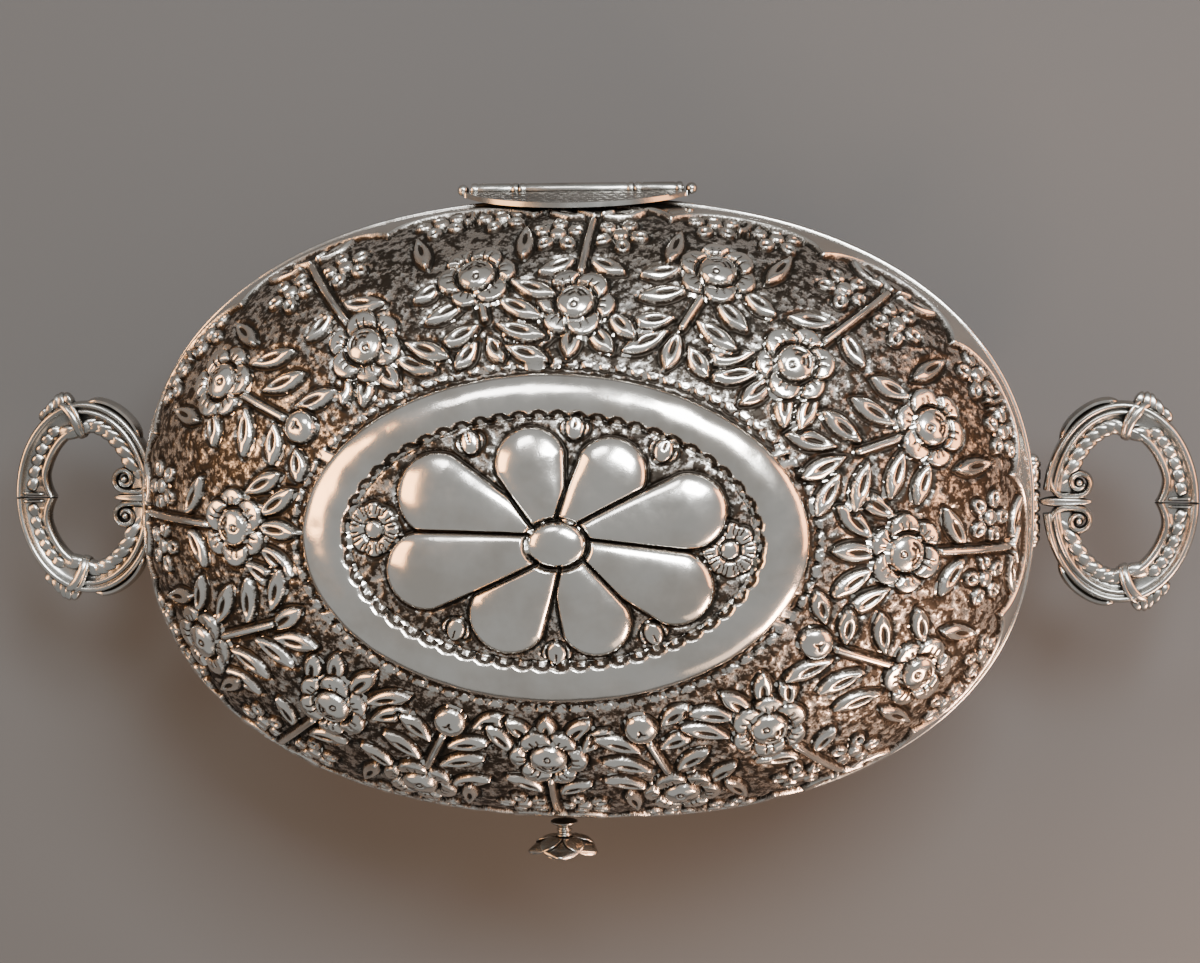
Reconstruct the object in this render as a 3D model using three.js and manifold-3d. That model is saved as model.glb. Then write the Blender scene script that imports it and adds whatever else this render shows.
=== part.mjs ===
// Oval sugar bowl in chased silver: a rounded bowl on a foot ring, a domed lid hinged along its back,
// a flower knob at the front of the lid, and a cast ring handle on a pivot at each end.
// Millimetres, +Z up, +X towards the right handle, +Y towards the hinge.
// The origin lies on the table, under the centre of the whole object's box.
import * as THREE from "three";
import Module from "manifold-3d";
import { mergeVertices } from "three/addons/utils/BufferGeometryUtils.js";

const wasm = await Module();
wasm.setup();

// ---------------------------------------------------------------- driving dimensions
const bodyLength = 157.5; // outline of the closed body, along X
const bodyFullness = 2.28; // 2 makes the outline an ellipse, and more makes it fuller between its axes
const bodyWidth = 109; // and along Y
const bowlDepth = 44; // from the mouth to the underside of the floor
const bowlRoundness = 56; // half height of the ellipsoid that the bowl's wall follows
const lidRise = 41; // half height of the one that the lid follows
const wall = 0.8; // hammered sheet
const partingGap = 0.3; // between the lid's band and the bowl's
const solderGap = 0.3; // kept between pieces that are soldered face to face

const footHeight = 3.0;
const footWidth = 2.6;
const footInset = 2.6; // how far the foot stands in from the edge of the floor

const bandHeight = 2.4; // the plain wires that edge lid and bowl
const bandWidth = 1.6;
const bandProud = 0.3; // how far they stand out of the sheet
const bezelWall = 0.8; // the collar inside the mouth that centres the lid
const bezelDrop = 4.5; // below the mouth
const bezelRise = 3.0; // above it

const medallionShare = 0.512; // outline of the lid's oval boss, as a share of the body's
const cushionShare = 0.1; // width of the plain cushion round it, likewise
const cushionRise = 1.8;
const rosetteRise = 2.0; // the flower inside it

const sideKnuckle = 8.2; // length of the bowl's two hinge knuckles
const middleKnuckle = 20; // and of the lid's, between them
const knuckleRadius = 1.2;
const knuckleGap = 0.25;
const pinRadius = 0.5;
const pinClearance = 0.25;
const pinBeadRadius = 1.0;
const leafHalfLength = 19.5; // the flat chased plates of the hinge
const leafHeight = 10;
const leafThickness = 0.8;

const knobHeight = 3.4; // the knob's axis above the mouth
const knobSide = -3.2; // and to the side of the lid's middle
const collarRadius = 2.4;
const collarThickness = 0.6;
const stemRadius = 1.4;
const stemLength = 1.9;
const flowerRadius = 6.8;
const flowerDepth = 3.6;
const petalThickness = 1.3;
const petalCount = 5;
const stamenRadius = 1.6;
const stamenLength = 1.2;

const pivotDrop = 13.4; // how far below the mouth the handles are pivoted
const bracketLength = 14.8;
const bracketHeight = 9;
const bracketThickness = 1.0;
const eyeRadius = 1.5;
const lugWidth = 4.0; // the middle eye, which carries the ring
const handlePinRadius = 0.6;
const ringReach = 27.4; // the ring from its pivot side to its far side
const ringSpan = 36.2; // and from front to back
const ringBand = 6.1; // width of the cast band
const ringThickness = 4.0;
const tongueWidth = 1.4; // the leaf that the lug sends out between the volutes
const voluteRadius = 2.4;
const wrapStart = 1.13; // the acanthus wraps, by angle round the ring from its far side
const wrapEnd = 1.5;
const wrapProud = 0.5; // how far they stand out of the band

const ovalSegments = 48;
const wallSteps = 8;

// ---------------------------------------------------------------- worked out from them
const halfLength = bodyLength / 2;
const halfWidth = bodyWidth / 2;
const mouthHeight = bowlDepth + solderGap + footHeight;
const sheetStart = partingGap / 2 + bandHeight + solderGap; // where the sheet starts, from the mouth
const bandReach = halfWidth + bandProud;
const hingeY = bandReach + solderGap + knuckleRadius;
const hingeReach = hingeY + knuckleRadius;
const collarStart = bandReach + solderGap;
const stemStart = collarStart + collarThickness + solderGap;
const flowerStart = stemStart + stemLength + solderGap;
const petalRise = flowerDepth - petalThickness;
const stamenStart = flowerStart + petalThickness + (petalRise * stamenRadius) / flowerRadius + solderGap;
const knobReach = flowerStart + flowerDepth;
const bodyY = (knobReach - hingeReach) / 2; // puts the middle of the whole box on the origin

// ---------------------------------------------------------------- materials
const silver = (color, roughness) => new THREE.MeshStandardMaterial({ color, roughness, metalness: 1 });
const chased = () => silver(0xb8b0a4, 0.38);
const plain = () => silver(0xcfc8bd, 0.25);
const cast = () => silver(0xa8a49c, 0.4);

// ---------------------------------------------------------------- helpers
function piece(name, geometry, material) {
  const mesh = new THREE.Mesh(geometry, material);
  mesh.name = name;
  return mesh;
}

// A point of an oval profile: its share of the outline left after an inset, and its height.
const at = (share, inset, z) => ({ share, inset, z });

// Turns a profile round the oval outline. The profile starts and ends on the axis, or closes on itself.
function ovalTurning(profile) {
  const radius = (half, { share, inset }) => share * (half - inset);
  const points = profile.map((point) => new THREE.Vector2(radius(halfWidth, point), point.z));
  const geometry = new THREE.LatheGeometry(points, ovalSegments).rotateX(Math.PI / 2);
  const position = geometry.attributes.position;
  for (let n = 0; n < position.count; n++) {
    const point = profile[n % profile.length];
    const reach = radius(halfWidth, point);
    if (reach <= 0) continue;
    const along = position.getX(n) / reach;
    const across = position.getY(n) / reach;
    const full = (Math.abs(along) ** bodyFullness + Math.abs(across) ** bodyFullness) ** (-1 / bodyFullness);
    position.setX(n, along * full * radius(halfLength, point));
    position.setY(n, across * full * reach);
  }
  return geometry;
}

// A ring of rectangular section that follows the oval.
const ovalRing = (share, insetOut, insetIn, zLow, zHigh) =>
  ovalTurning([
    at(share, insetOut, zLow),
    at(share, insetOut, zHigh),
    at(share, insetIn, zHigh),
    at(share, insetIn, zLow),
    at(share, insetOut, zLow),
  ]);

// A rod, or a tube if it has a bore, that starts at the origin and runs along +Y.
function rod(radius, bore, length, sides) {
  const outline = bore
    ? [[bore, 0], [radius, 0], [radius, length], [bore, length], [bore, 0]]
    : [[0, 0], [radius, 0], [radius, length], [0, length]];
  return new THREE.LatheGeometry(outline.map(([r, h]) => new THREE.Vector2(r, h)), sides);
}

// A flat plate with the given outline, centred on its own mid plane.
function plate(shape, thickness, curveSegments) {
  const options = { depth: thickness, curveSegments, bevelEnabled: false };
  return new THREE.ExtrudeGeometry(shape, options).translate(0, 0, -thickness / 2);
}

function solid(geometry) {
  const bare = new THREE.BufferGeometry();
  bare.setAttribute("position", (geometry.index ? geometry.toNonIndexed() : geometry).attributes.position);
  const merged = mergeVertices(bare, 1e-4);
  return new wasm.Manifold(new wasm.Mesh({
    numProp: 3,
    vertProperties: merged.attributes.position.array,
    triVerts: new Uint32Array(merged.index.array),
  }));
}

function joined(...geometries) {
  const { vertProperties, triVerts } = geometries.map(solid).reduce((whole, next) => whole.add(next)).getMesh();
  const geometry = new THREE.BufferGeometry();
  geometry.setAttribute("position", new THREE.BufferAttribute(new Float32Array(vertProperties), 3));
  geometry.setIndex(new THREE.BufferAttribute(new Uint32Array(triVerts), 1));
  return geometry;
}

// Share of its outline that an ellipsoidal wall has left at a height above or below the mouth.
const shareAt = (z, halfHeight) => Math.sqrt(1 - (z / halfHeight) ** 2);

// Points of an ellipsoidal wall between two heights, closer together where it turns in.
function wallPoints(from, to, halfHeight, inset, direction) {
  const start = Math.asin(from / halfHeight);
  const end = Math.asin(to / halfHeight);
  return Array.from({ length: wallSteps + 1 }, (_, n) => {
    const z = halfHeight * Math.sin(start + ((end - start) * n) / wallSteps);
    return at(shareAt(z, halfHeight), inset, direction * z);
  });
}

// ---------------------------------------------------------------- bowl
function bowlPieces() {
  const outer = wallPoints(sheetStart, bowlDepth, bowlRoundness, 0, -1);
  const inner = wallPoints(sheetStart, bowlDepth - wall, bowlRoundness - wall, wall, -1);
  const shell = ovalTurning([
    at(0, 0, -bowlDepth),
    ...outer.reverse(),
    ...inner,
    at(0, 0, wall - bowlDepth),
  ]);

  const bandInner = bandWidth - bandProud;
  const bandTop = -partingGap / 2;
  const band = ovalRing(1, -bandProud, bandInner, bandTop - bandHeight, bandTop);

  const wallInset = (z, halfHeight) => halfLength - (halfLength - wall) * shareAt(z, halfHeight - wall);
  const bezelInset = solderGap +
    Math.max(bandInner, wallInset(bezelDrop, bowlRoundness), wallInset(bezelRise, lidRise));
  const bezel = ovalRing(1, bezelInset, bezelInset + bezelWall, -bezelDrop, bezelRise);

  const floorShare = shareAt(bowlDepth, bowlRoundness);
  const footTop = -bowlDepth - solderGap;
  const footOut = footInset / floorShare;
  const footIn = (footInset + footWidth) / floorShare;
  const foot = ovalRing(floorShare, footOut, footIn, footTop - footHeight, footTop);

  return [
    piece("bowl_shell", shell, chased()),
    piece("bowl_rim_band", band, plain()),
    piece("seat_bezel", bezel, plain()),
    piece("foot_ring", foot, plain()),
  ];
}

// ---------------------------------------------------------------- lid
function lidPieces() {
  const dome = (share) => lidRise * Math.sqrt(1 - share ** 2);
  const edge = dome(medallionShare);
  const crest = medallionShare - cushionShare / 2;
  const rosette = medallionShare - cushionShare;
  const shell = ovalTurning([
    at(0, 0, lidRise - wall),
    at(rosette / 2, 0, dome(rosette / 2) - wall),
    ...wallPoints(sheetStart, edge - wall, lidRise - wall, wall, 1).reverse(),
    ...wallPoints(sheetStart, edge, lidRise, 0, 1),
    at(crest, 0, dome(crest) + cushionRise),
    at(rosette, 0, dome(rosette)),
    at(rosette * 0.8, 0, dome(rosette * 0.8) + rosetteRise),
    at(rosette * 0.4, 0, dome(rosette * 0.4) + rosetteRise),
    at(0, 0, lidRise + rosetteRise),
  ]);
  const bandBottom = partingGap / 2;
  const band = ovalRing(1, -bandProud, bandWidth - bandProud, bandBottom, bandBottom + bandHeight);
  return [
    piece("lid_shell", shell, chased()),
    piece("lid_rim_band", band, plain()),
  ];
}

// ---------------------------------------------------------------- hinge
const barrelLength = 2 * (sideKnuckle + knuckleGap) + middleKnuckle;

// A leaf is a flat plate with a straight root along the barrel and a bowed free edge. It leans in with
// the wall behind it: direction is 1 for the lid's, which stands up, and -1 for the bowl's.
function hingeLeaf(name, direction, wallHalfHeight) {
  const root = knuckleRadius + solderGap;
  const leafTop = root + leafHeight;
  const outline = new THREE.Shape();
  outline.moveTo(-leafHalfLength, 0);
  outline.lineTo(leafHalfLength, 0);
  outline.bezierCurveTo(
    leafHalfLength * 0.62, leafHeight * 1.333,
    -leafHalfLength * 0.62, leafHeight * 1.333,
    -leafHalfLength, 0,
  );
  const fall = bandReach - halfWidth * shareAt(leafTop, wallHalfHeight) - solderGap;
  const lean = Math.atan2(fall, leafTop);
  const geometry = plate(outline, leafThickness, 10)
    .translate(0, 0, -leafThickness / 2)
    .rotateX(Math.PI / 2 + lean)
    .translate(0, bandReach + solderGap, root);
  if (direction < 0) geometry.rotateY(Math.PI);
  return piece(name, geometry, cast());
}

function knuckle(name, start, length) {
  const geometry = rod(knuckleRadius, pinRadius + pinClearance, length, 16).rotateZ(-Math.PI / 2);
  return piece(name, geometry.translate(start, hingeY, 0), cast());
}

function hingePinPieces() {
  const pinLength = barrelLength + 2 * solderGap;
  const pin = rod(pinRadius, 0, pinLength, 12).rotateZ(-Math.PI / 2).translate(-pinLength / 2, hingeY, 0);
  const bead = (name, direction) => {
    const x = direction * (pinLength / 2 + solderGap + pinBeadRadius);
    return piece(name, new THREE.SphereGeometry(pinBeadRadius, 12, 8).translate(x, hingeY, 0), cast());
  };
  return [piece("hinge_pin", pin, plain()), bead("hinge_pin_bead_left", -1), bead("hinge_pin_bead_right", 1)];
}

// ---------------------------------------------------------------- knob
// Petals are thick blades that bend forward; they and a small disc join into one open flower.
function knobFlower() {
  const outline = new THREE.Shape();
  const spread = flowerRadius * 0.55;
  outline.moveTo(0, -spread * 0.3);
  outline.bezierCurveTo(flowerRadius * 0.5, -spread, flowerRadius, -spread, flowerRadius, 0);
  outline.bezierCurveTo(flowerRadius, spread, flowerRadius * 0.5, spread, 0, spread * 0.3);
  outline.closePath();
  const petals = Array.from({ length: petalCount }, (_, n) => {
    const blade = plate(outline, petalThickness, 6).translate(0, 0, petalThickness / 2);
    const position = blade.attributes.position;
    for (let k = 0; k < position.count; k++) {
      const reach = Math.max(position.getX(k), 0) / flowerRadius;
      position.setZ(k, position.getZ(k) + petalRise * reach ** 2);
    }
    return blade.rotateZ(Math.PI / 2 + (n * 2 * Math.PI) / petalCount);
  });
  const heart = rod(flowerRadius * 0.32, 0, petalThickness, 16).rotateX(Math.PI / 2);
  return joined(heart, ...petals).rotateX(Math.PI / 2);
}

function knobPieces() {
  const forward = (geometry, start) => geometry.translate(knobSide, -start, knobHeight);
  const turned = (radius, length, sides) => rod(radius, 0, length, sides).rotateX(Math.PI);
  return [
    piece("knob_collar", forward(turned(collarRadius, collarThickness, 20), collarStart), cast()),
    piece("knob_stem", forward(turned(stemRadius, stemLength, 16), stemStart), cast()),
    piece("knob_flower", forward(knobFlower(), flowerStart), cast()),
    piece("knob_stamen", forward(turned(stamenRadius, stamenLength, 14), stamenStart), cast()),
  ];
}

// ---------------------------------------------------------------- handles
const pivotShare = shareAt(pivotDrop, bowlRoundness);
const seatPoint = new THREE.Vector2(halfLength * pivotShare, -pivotDrop);
const seatNormal = new THREE.Vector2(seatPoint.x / halfLength ** 2, seatPoint.y / bowlRoundness ** 2).normalize();
const seatAngle = Math.atan2(-seatNormal.y, seatNormal.x);
const pivotStandoff = solderGap + bracketThickness + solderGap + eyeRadius;
const pivot = seatPoint.clone().addScaledVector(seatNormal, pivotStandoff);
const eyeBore = handlePinRadius + pinClearance;
const ringHalfReach = ringReach / 2;
const ringHalfSpan = ringSpan / 2;
const ringCentre = eyeRadius + solderGap + ringHalfReach; // from the pivot

// The pieces that stay on the bowl, for the end at +X.
function bracketPieces(side) {
  const halfSpan = bracketLength / 2;
  const halfHeight = bracketHeight / 2;
  const outline = new THREE.Shape();
  outline.moveTo(0, -halfSpan);
  outline.bezierCurveTo(halfHeight, -halfSpan, halfHeight * 0.8, -halfSpan * 0.4, halfHeight, 0);
  outline.bezierCurveTo(halfHeight * 0.8, halfSpan * 0.4, halfHeight, halfSpan, 0, halfSpan);
  outline.bezierCurveTo(-halfHeight, halfSpan, -halfHeight * 0.8, halfSpan * 0.4, -halfHeight, 0);
  outline.bezierCurveTo(-halfHeight * 0.8, -halfSpan * 0.4, -halfHeight, -halfSpan, 0, -halfSpan);
  const seat = seatPoint.clone().addScaledVector(seatNormal, solderGap + bracketThickness / 2);
  const backPlate = plate(outline, bracketThickness, 5)
    .rotateY(Math.PI / 2 + seatAngle)
    .translate(seat.x, 0, seat.y);

  const eyeLength = (bracketLength - lugWidth) / 2 - knuckleGap;
  const along = (radius, bore, length, start) => rod(radius, bore, length, 16).translate(pivot.x, start, pivot.y);
  const eyeStart = lugWidth / 2 + knuckleGap;
  return [
    piece(`${side}_bracket_plate`, backPlate, cast()),
    piece(`${side}_bracket_eye_near`, along(eyeRadius, eyeBore, eyeLength, -eyeStart - eyeLength), cast()),
    piece(`${side}_bracket_eye_far`, along(eyeRadius, eyeBore, eyeLength, eyeStart), cast()),
    piece(`${side}_handle_pin`, along(handlePinRadius, 0, bracketLength, -bracketLength / 2), plain()),
  ];
}

// A length of the oval band between two angles measured from the far side of the ring.
function bandSector(from, to, proud) {
  const outline = new THREE.Shape();
  outline.absellipse(0, 0, ringHalfReach + proud, ringHalfSpan + proud, from, to, false);
  outline.absellipse(0, 0, ringHalfReach - ringBand - proud, ringHalfSpan - ringBand - proud, to, from, true);
  outline.closePath();
  return outline;
}

// The pieces that swing, for the end at +X. The ring is cast in halves, so each has a mirrored twin.
function ringPieces(side) {
  const innerHalfReach = ringHalfReach - ringBand;
  const innerHalfSpan = ringHalfSpan - ringBand;
  const seam = tongueWidth / 2 + solderGap;
  const sectorGap = solderGap / innerHalfSpan;
  const bowStart = solderGap / 2 / innerHalfSpan;
  const scrollStart = wrapEnd + sectorGap;
  const scrollEnd = Math.PI - Math.asin(seam / innerHalfSpan);

  const band = (from, to, proud) => plate(bandSector(from, to, proud), ringThickness + 2 * proud, 12);
  const voluteThickness = ringThickness - 2 * wrapProud;
  const volute = () => rod(voluteRadius, 0, voluteThickness, 16)
    .translate(0, -voluteThickness / 2, 0)
    .rotateX(Math.PI / 2)
    .translate(-innerHalfReach, seam + voluteRadius, 0);
  const half = (name, build) => {
    const place = (geometry) => geometry.translate(pivot.x + ringCentre, 0, pivot.y);
    return [
      piece(`${side}_${name}_far`, place(build()), cast()),
      piece(`${side}_${name}_near`, place(build().rotateX(Math.PI)), cast()),
    ];
  };

  const tongueEnd = ringCentre - innerHalfReach;
  const tongueStart = (eyeRadius + eyeBore) / 2;
  const tongue = new THREE.BoxGeometry(tongueEnd - tongueStart, tongueWidth, eyeRadius)
    .translate((tongueEnd + tongueStart) / 2, 0, 0);
  const eye = rod(eyeRadius, eyeBore, lugWidth, 16).translate(0, -lugWidth / 2, 0);
  const lug = joined(eye, tongue).translate(pivot.x, 0, pivot.y);
  return [
    piece(`${side}_handle_lug`, lug, cast()),
    ...half("scroll", () => joined(band(scrollStart, scrollEnd, 0), volute())),
    ...half("wrap", () => band(wrapStart, wrapEnd, wrapProud)),
    ...half("bow", () => band(bowStart, wrapStart - sectorGap, 0)),
  ];
}

// ---------------------------------------------------------------- assembly
const group = (...meshes) => new THREE.Group().add(...meshes);

const bowl = group(
  ...bowlPieces(),
  hingeLeaf("bowl_hinge_leaf", -1, bowlRoundness),
  knuckle("bowl_knuckle_left", -barrelLength / 2, sideKnuckle),
  knuckle("bowl_knuckle_right", barrelLength / 2 - sideKnuckle, sideKnuckle),
  ...hingePinPieces(),
);
const lid = group(
  ...lidPieces(),
  hingeLeaf("lid_hinge_leaf", 1, lidRise),
  knuckle("lid_knuckle", -middleKnuckle / 2, middleKnuckle),
  ...knobPieces(),
);
const rightEnd = group(...bracketPieces("right"), ...ringPieces("right"));
const leftEnd = group(...bracketPieces("left"), ...ringPieces("left"));
leftEnd.rotation.z = Math.PI;

const sugarBowl = group(bowl, lid, rightEnd, leftEnd);
sugarBowl.position.set(0, bodyY, mouthHeight);

export default new THREE.Group().add(sugarBowl);
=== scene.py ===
# Silver sugar bowl: the looks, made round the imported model.
# Lengths in the making functions are millimetres; meshes are written in metres.
import math

import bmesh
import bpy
import numpy as np
from mathutils import Matrix, Vector


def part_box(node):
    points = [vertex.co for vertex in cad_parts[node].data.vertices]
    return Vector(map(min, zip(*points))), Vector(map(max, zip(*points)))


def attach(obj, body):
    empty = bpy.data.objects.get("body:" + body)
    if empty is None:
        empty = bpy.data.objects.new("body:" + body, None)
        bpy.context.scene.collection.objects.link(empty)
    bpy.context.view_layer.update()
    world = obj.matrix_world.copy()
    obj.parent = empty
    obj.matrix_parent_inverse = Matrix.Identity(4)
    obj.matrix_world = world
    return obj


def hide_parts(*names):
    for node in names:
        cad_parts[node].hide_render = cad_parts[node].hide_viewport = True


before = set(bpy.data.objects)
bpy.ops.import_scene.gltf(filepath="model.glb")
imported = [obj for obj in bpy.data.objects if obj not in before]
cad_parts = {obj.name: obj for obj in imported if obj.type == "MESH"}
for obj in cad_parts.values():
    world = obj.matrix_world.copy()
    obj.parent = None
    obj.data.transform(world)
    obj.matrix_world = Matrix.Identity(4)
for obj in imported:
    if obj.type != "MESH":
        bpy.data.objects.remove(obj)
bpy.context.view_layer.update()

MM = 0.001
FULL_TURN = 2 * math.pi
UP = (0, 0, 1)


# ---------------------------------------------------------------- places taken from the frame
def box_mm(*nodes):
    """Lowest and highest corners of some CAD nodes together, in millimetres."""
    boxes = [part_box(node) for node in nodes]
    low = np.min([np.array(box[0]) for box in boxes], axis=0) / MM
    high = np.max([np.array(box[1]) for box in boxes], axis=0) / MM
    return low, high


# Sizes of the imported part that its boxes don't show: the sheet, how far the rim wires stand proud, how far
# the medallion rises over the lid's dome, the depth that the bowl's curve would reach without its floor, and
# the fullness of the outline's oval, where 2 is an ellipse.
WALL = 0.8
BAND_PROUD = 0.3
ROSETTE_RISE = 2.0
BOWL_ROUNDNESS = 56.0
FULLNESS = 2.28

lid_band_low, lid_band_high = box_mm("lid_rim_band")
bowl_band_low, bowl_band_high = box_mm("bowl_rim_band")
HALF_LENGTH = (lid_band_high[0] - lid_band_low[0]) / 2 - BAND_PROUD
HALF_WIDTH = (lid_band_high[1] - lid_band_low[1]) / 2 - BAND_PROUD
STRETCH = HALF_LENGTH / HALF_WIDTH
MOUTH = np.array([0, (lid_band_high[1] + lid_band_low[1]) / 2, (lid_band_low[2] + bowl_band_high[2]) / 2])
LID_RISE = box_mm("lid_shell")[1][2] - MOUTH[2] - ROSETTE_RISE
BOWL_DEPTH = MOUTH[2] - box_mm("bowl_shell")[0][2]
SHEET_START = box_mm("lid_shell")[0][2] - MOUTH[2]
right_pin_low, right_pin_high = box_mm("right_handle_pin")
PIVOT = (right_pin_low + right_pin_high) / 2
ring_low, ring_high = box_mm("right_scroll_far", "right_scroll_near", "right_bow_far", "right_bow_near")
RING_CENTRE = (ring_low + ring_high) / 2
RING_REACH = (ring_high[0] - ring_low[0]) / 2
RING_SPAN = (ring_high[1] - ring_low[1]) / 2


# ---------------------------------------------------------------- camera and light
def make_camera():
    """Looks down on the lid from a little to the right of it and behind it."""
    distance = 0.436
    side_tilt = math.radians(7.6)
    back_tilt = math.radians(7.73)
    roll = math.radians(-0.72)
    half_view = math.radians(13.68)
    towards = Vector((math.tan(side_tilt), math.tan(back_tilt), 1)).normalized()
    right = Vector((0, 1, 0)).cross(towards).normalized()
    up = towards.cross(right)
    turned_right = right * math.cos(roll) + up * math.sin(roll)
    turned_up = up * math.cos(roll) - right * math.sin(roll)
    aim = Vector(MOUTH * MM) + turned_right * 0.0034 + turned_up * 0.005
    place = Vector(MOUTH * MM) + towards * distance
    back = (place - aim).normalized()
    side = turned_up.cross(back).normalized()
    data = bpy.data.cameras.new("camera")
    data.angle = 2 * half_view
    data.clip_start = 0.01
    camera = bpy.data.objects.new("camera", data)
    basis = Matrix((side, back.cross(side), back)).transposed().to_4x4()
    camera.matrix_world = Matrix.Translation(place) @ basis
    bpy.context.scene.collection.objects.link(camera)
    bpy.context.scene.camera = camera


def area_light(name, place, size, power, colour):
    """A rectangular lamp that points at the middle of the mouth."""
    data = bpy.data.lights.new(name, "AREA")
    data.shape = "RECTANGLE"
    data.size, data.size_y = size
    data.energy = power
    data.color = colour
    light = bpy.data.objects.new(name, data)
    light.location = place
    aim = Vector((0, 0, MOUTH[2] * MM)) - Vector(place)
    light.rotation_euler = aim.to_track_quat("-Z", "Y").to_euler()
    bpy.context.scene.collection.objects.link(light)


# Name, place and size in metres, power in watts and colour of each soft lamp.
LAMPS = (
    ("window", (0.28, 0.46, 0.80), (0.44, 0.32), 14, (0.91, 0.96, 1.0)),
    ("window_left", (-0.22, 0.62, 0.72), (0.28, 0.20), 2.0, (0.95, 0.97, 1.0)),
    ("lamp_left", (-0.72, 0.16, 0.52), (0.50, 0.45), 6.5, (1.0, 0.50, 0.20)),
    ("lamp_right", (0.64, 0.12, 0.24), (0.5, 0.30), 3.2, (1.0, 0.42, 0.16)),
    ("lamp_front", (0.45, -0.62, 0.34), (0.5, 0.30), 0.8, (1.0, 0.72, 0.52)),
    ("lamp_corner", (0.27, -0.23, 0.17), (0.14, 0.10), 1.8, (1.0, 0.60, 0.40)),
)


def make_lights():
    for lamp in LAMPS:
        area_light(*lamp)
    world = bpy.data.worlds.new("room")
    world.use_nodes = True
    background = world.node_tree.nodes["Background"]
    background.inputs["Color"].default_value = (0.56, 0.58, 0.59, 1)
    background.inputs["Strength"].default_value = 0.66
    bpy.context.scene.world = world


def make_floor():
    """A plain matt floor, level with the foot."""
    bm = bmesh.new()
    bmesh.ops.create_grid(bm, x_segments=1, y_segments=1, size=4)
    floor = new_object(bm, "floor")
    material = bpy.data.materials.new("floor_paper")
    material.use_nodes = True
    shader = material.node_tree.nodes["Principled BSDF"]
    shader.inputs["Base Color"].default_value = (0.078, 0.083, 0.085, 1)
    shader.inputs["Roughness"].default_value = 0.9
    floor.data.materials.append(material)


# ---------------------------------------------------------------- materials
def silver(name, bright, tarnish, oxide, polish, recess="attribute"):
    """Silver with oxide left in its recesses. polish is the roughness of the bright metal.

    The recesses come from the chasing's own attribute, or on castings from how enclosed a point is. The
    enclosed measure gives oxide in the hollows and also painted shade where a piece meets another piece or
    the floor.
    """
    material = bpy.data.materials.new(name)
    material.use_nodes = True
    tree = material.node_tree
    nodes, links = tree.nodes, tree.links
    shader = nodes["Principled BSDF"]

    def node(kind, **values):
        made = nodes.new(kind)
        for key, value in values.items():
            if key in made.inputs:
                made.inputs[key].default_value = value
            else:
                setattr(made, key, value)
        return made

    def noise(scale, detail, roughness=0.55):
        made = node("ShaderNodeTexNoise", Scale=scale, Detail=detail, Roughness=roughness)
        links.new(coordinates.outputs["Object"], made.inputs["Vector"])
        return made.outputs["Fac"]

    def math_node(operation, first, second, clamp=False):
        made = node("ShaderNodeMath", operation=operation, use_clamp=clamp)
        for socket, value in zip(made.inputs, (first, second)):
            if isinstance(value, (int, float)):
                socket.default_value = value
            else:
                links.new(value, socket)
        return made.outputs[0]

    def ramp(value, low, high, to_low=0.0, to_high=1.0):
        made = node("ShaderNodeMapRange", interpolation_type="SMOOTHSTEP")
        made.inputs["From Min"].default_value = low
        made.inputs["From Max"].default_value = high
        made.inputs["To Min"].default_value = to_low
        made.inputs["To Max"].default_value = to_high
        links.new(value, made.inputs["Value"])
        return made.outputs["Result"]

    def blend(factor, first, second):
        made = node("ShaderNodeMix", data_type="RGBA")
        links.new(factor, made.inputs["Factor"])
        for socket, value in ((made.inputs[6], first), (made.inputs[7], second)):
            if isinstance(value, tuple):
                socket.default_value = (*value, 1)
            else:
                links.new(value, socket)
        return made.outputs[2]

    coordinates = node("ShaderNodeTexCoord")
    if recess == "attribute":
        hollow_oxide_and_shade = node("ShaderNodeAttribute", attribute_name="recess").outputs["Fac"]
    else:
        # Ambient occlusion sets the dark colour: oxide in hollows, and painted shade in the gaps between
        # pieces and where a piece stands on the floor.
        enclosed = node("ShaderNodeAmbientOcclusion", samples=8, Distance=2.2 * MM)
        hollow_oxide_and_shade = ramp(enclosed.outputs["AO"], 0.92, 0.30)
    # Oxide fills the hollows up to a ragged edge, and tarnish lies over the metal in clouds. With the
    # enclosed measure the dark is partly painted shade, where pieces meet and at the floor.
    clouds = noise(70, 4)
    speckle = noise(2400, 3, 0.7)
    ragged = math_node("ADD", hollow_oxide_and_shade, math_node("MULTIPLY", math_node("SUBTRACT", speckle, 0.5), 0.85))
    oxide_and_painted_shade = ramp(ragged, 0.25, 0.74)
    metal = blend(ramp(clouds, 0.38, 0.68, 0, 0.8), bright, tarnish)
    colour = blend(oxide_and_painted_shade, metal, oxide)
    links.new(colour, shader.inputs["Base Color"])
    links.new(ramp(oxide_and_painted_shade, 0.25, 1, 1.0, 0.75), shader.inputs["Metallic"])
    # Handling has polished some places and dulled others.
    wear = math_node("MULTIPLY", math_node("SUBTRACT", noise(260, 5, 0.65), 0.5), 0.22)
    roughness = math_node("ADD", ramp(oxide_and_painted_shade, 0, 1, polish, 0.50), wear, clamp=True)
    links.new(roughness, shader.inputs["Roughness"])
    # The shallow facets of the planishing hammer, and fine scratches.
    hammer = node("ShaderNodeTexVoronoi", Scale=210.0, feature="SMOOTH_F1", Smoothness=0.9)
    links.new(coordinates.outputs["Object"], hammer.inputs["Vector"])
    relief = math_node("ADD", hammer.outputs["Distance"],
                       math_node("MULTIPLY", noise(2600, 2), 0.05))
    bump = node("ShaderNodeBump", Strength=0.25, Distance=0.6 * MM)
    links.new(relief, bump.inputs["Height"])
    links.new(bump.outputs["Normal"], shader.inputs["Normal"])
    return material


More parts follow.
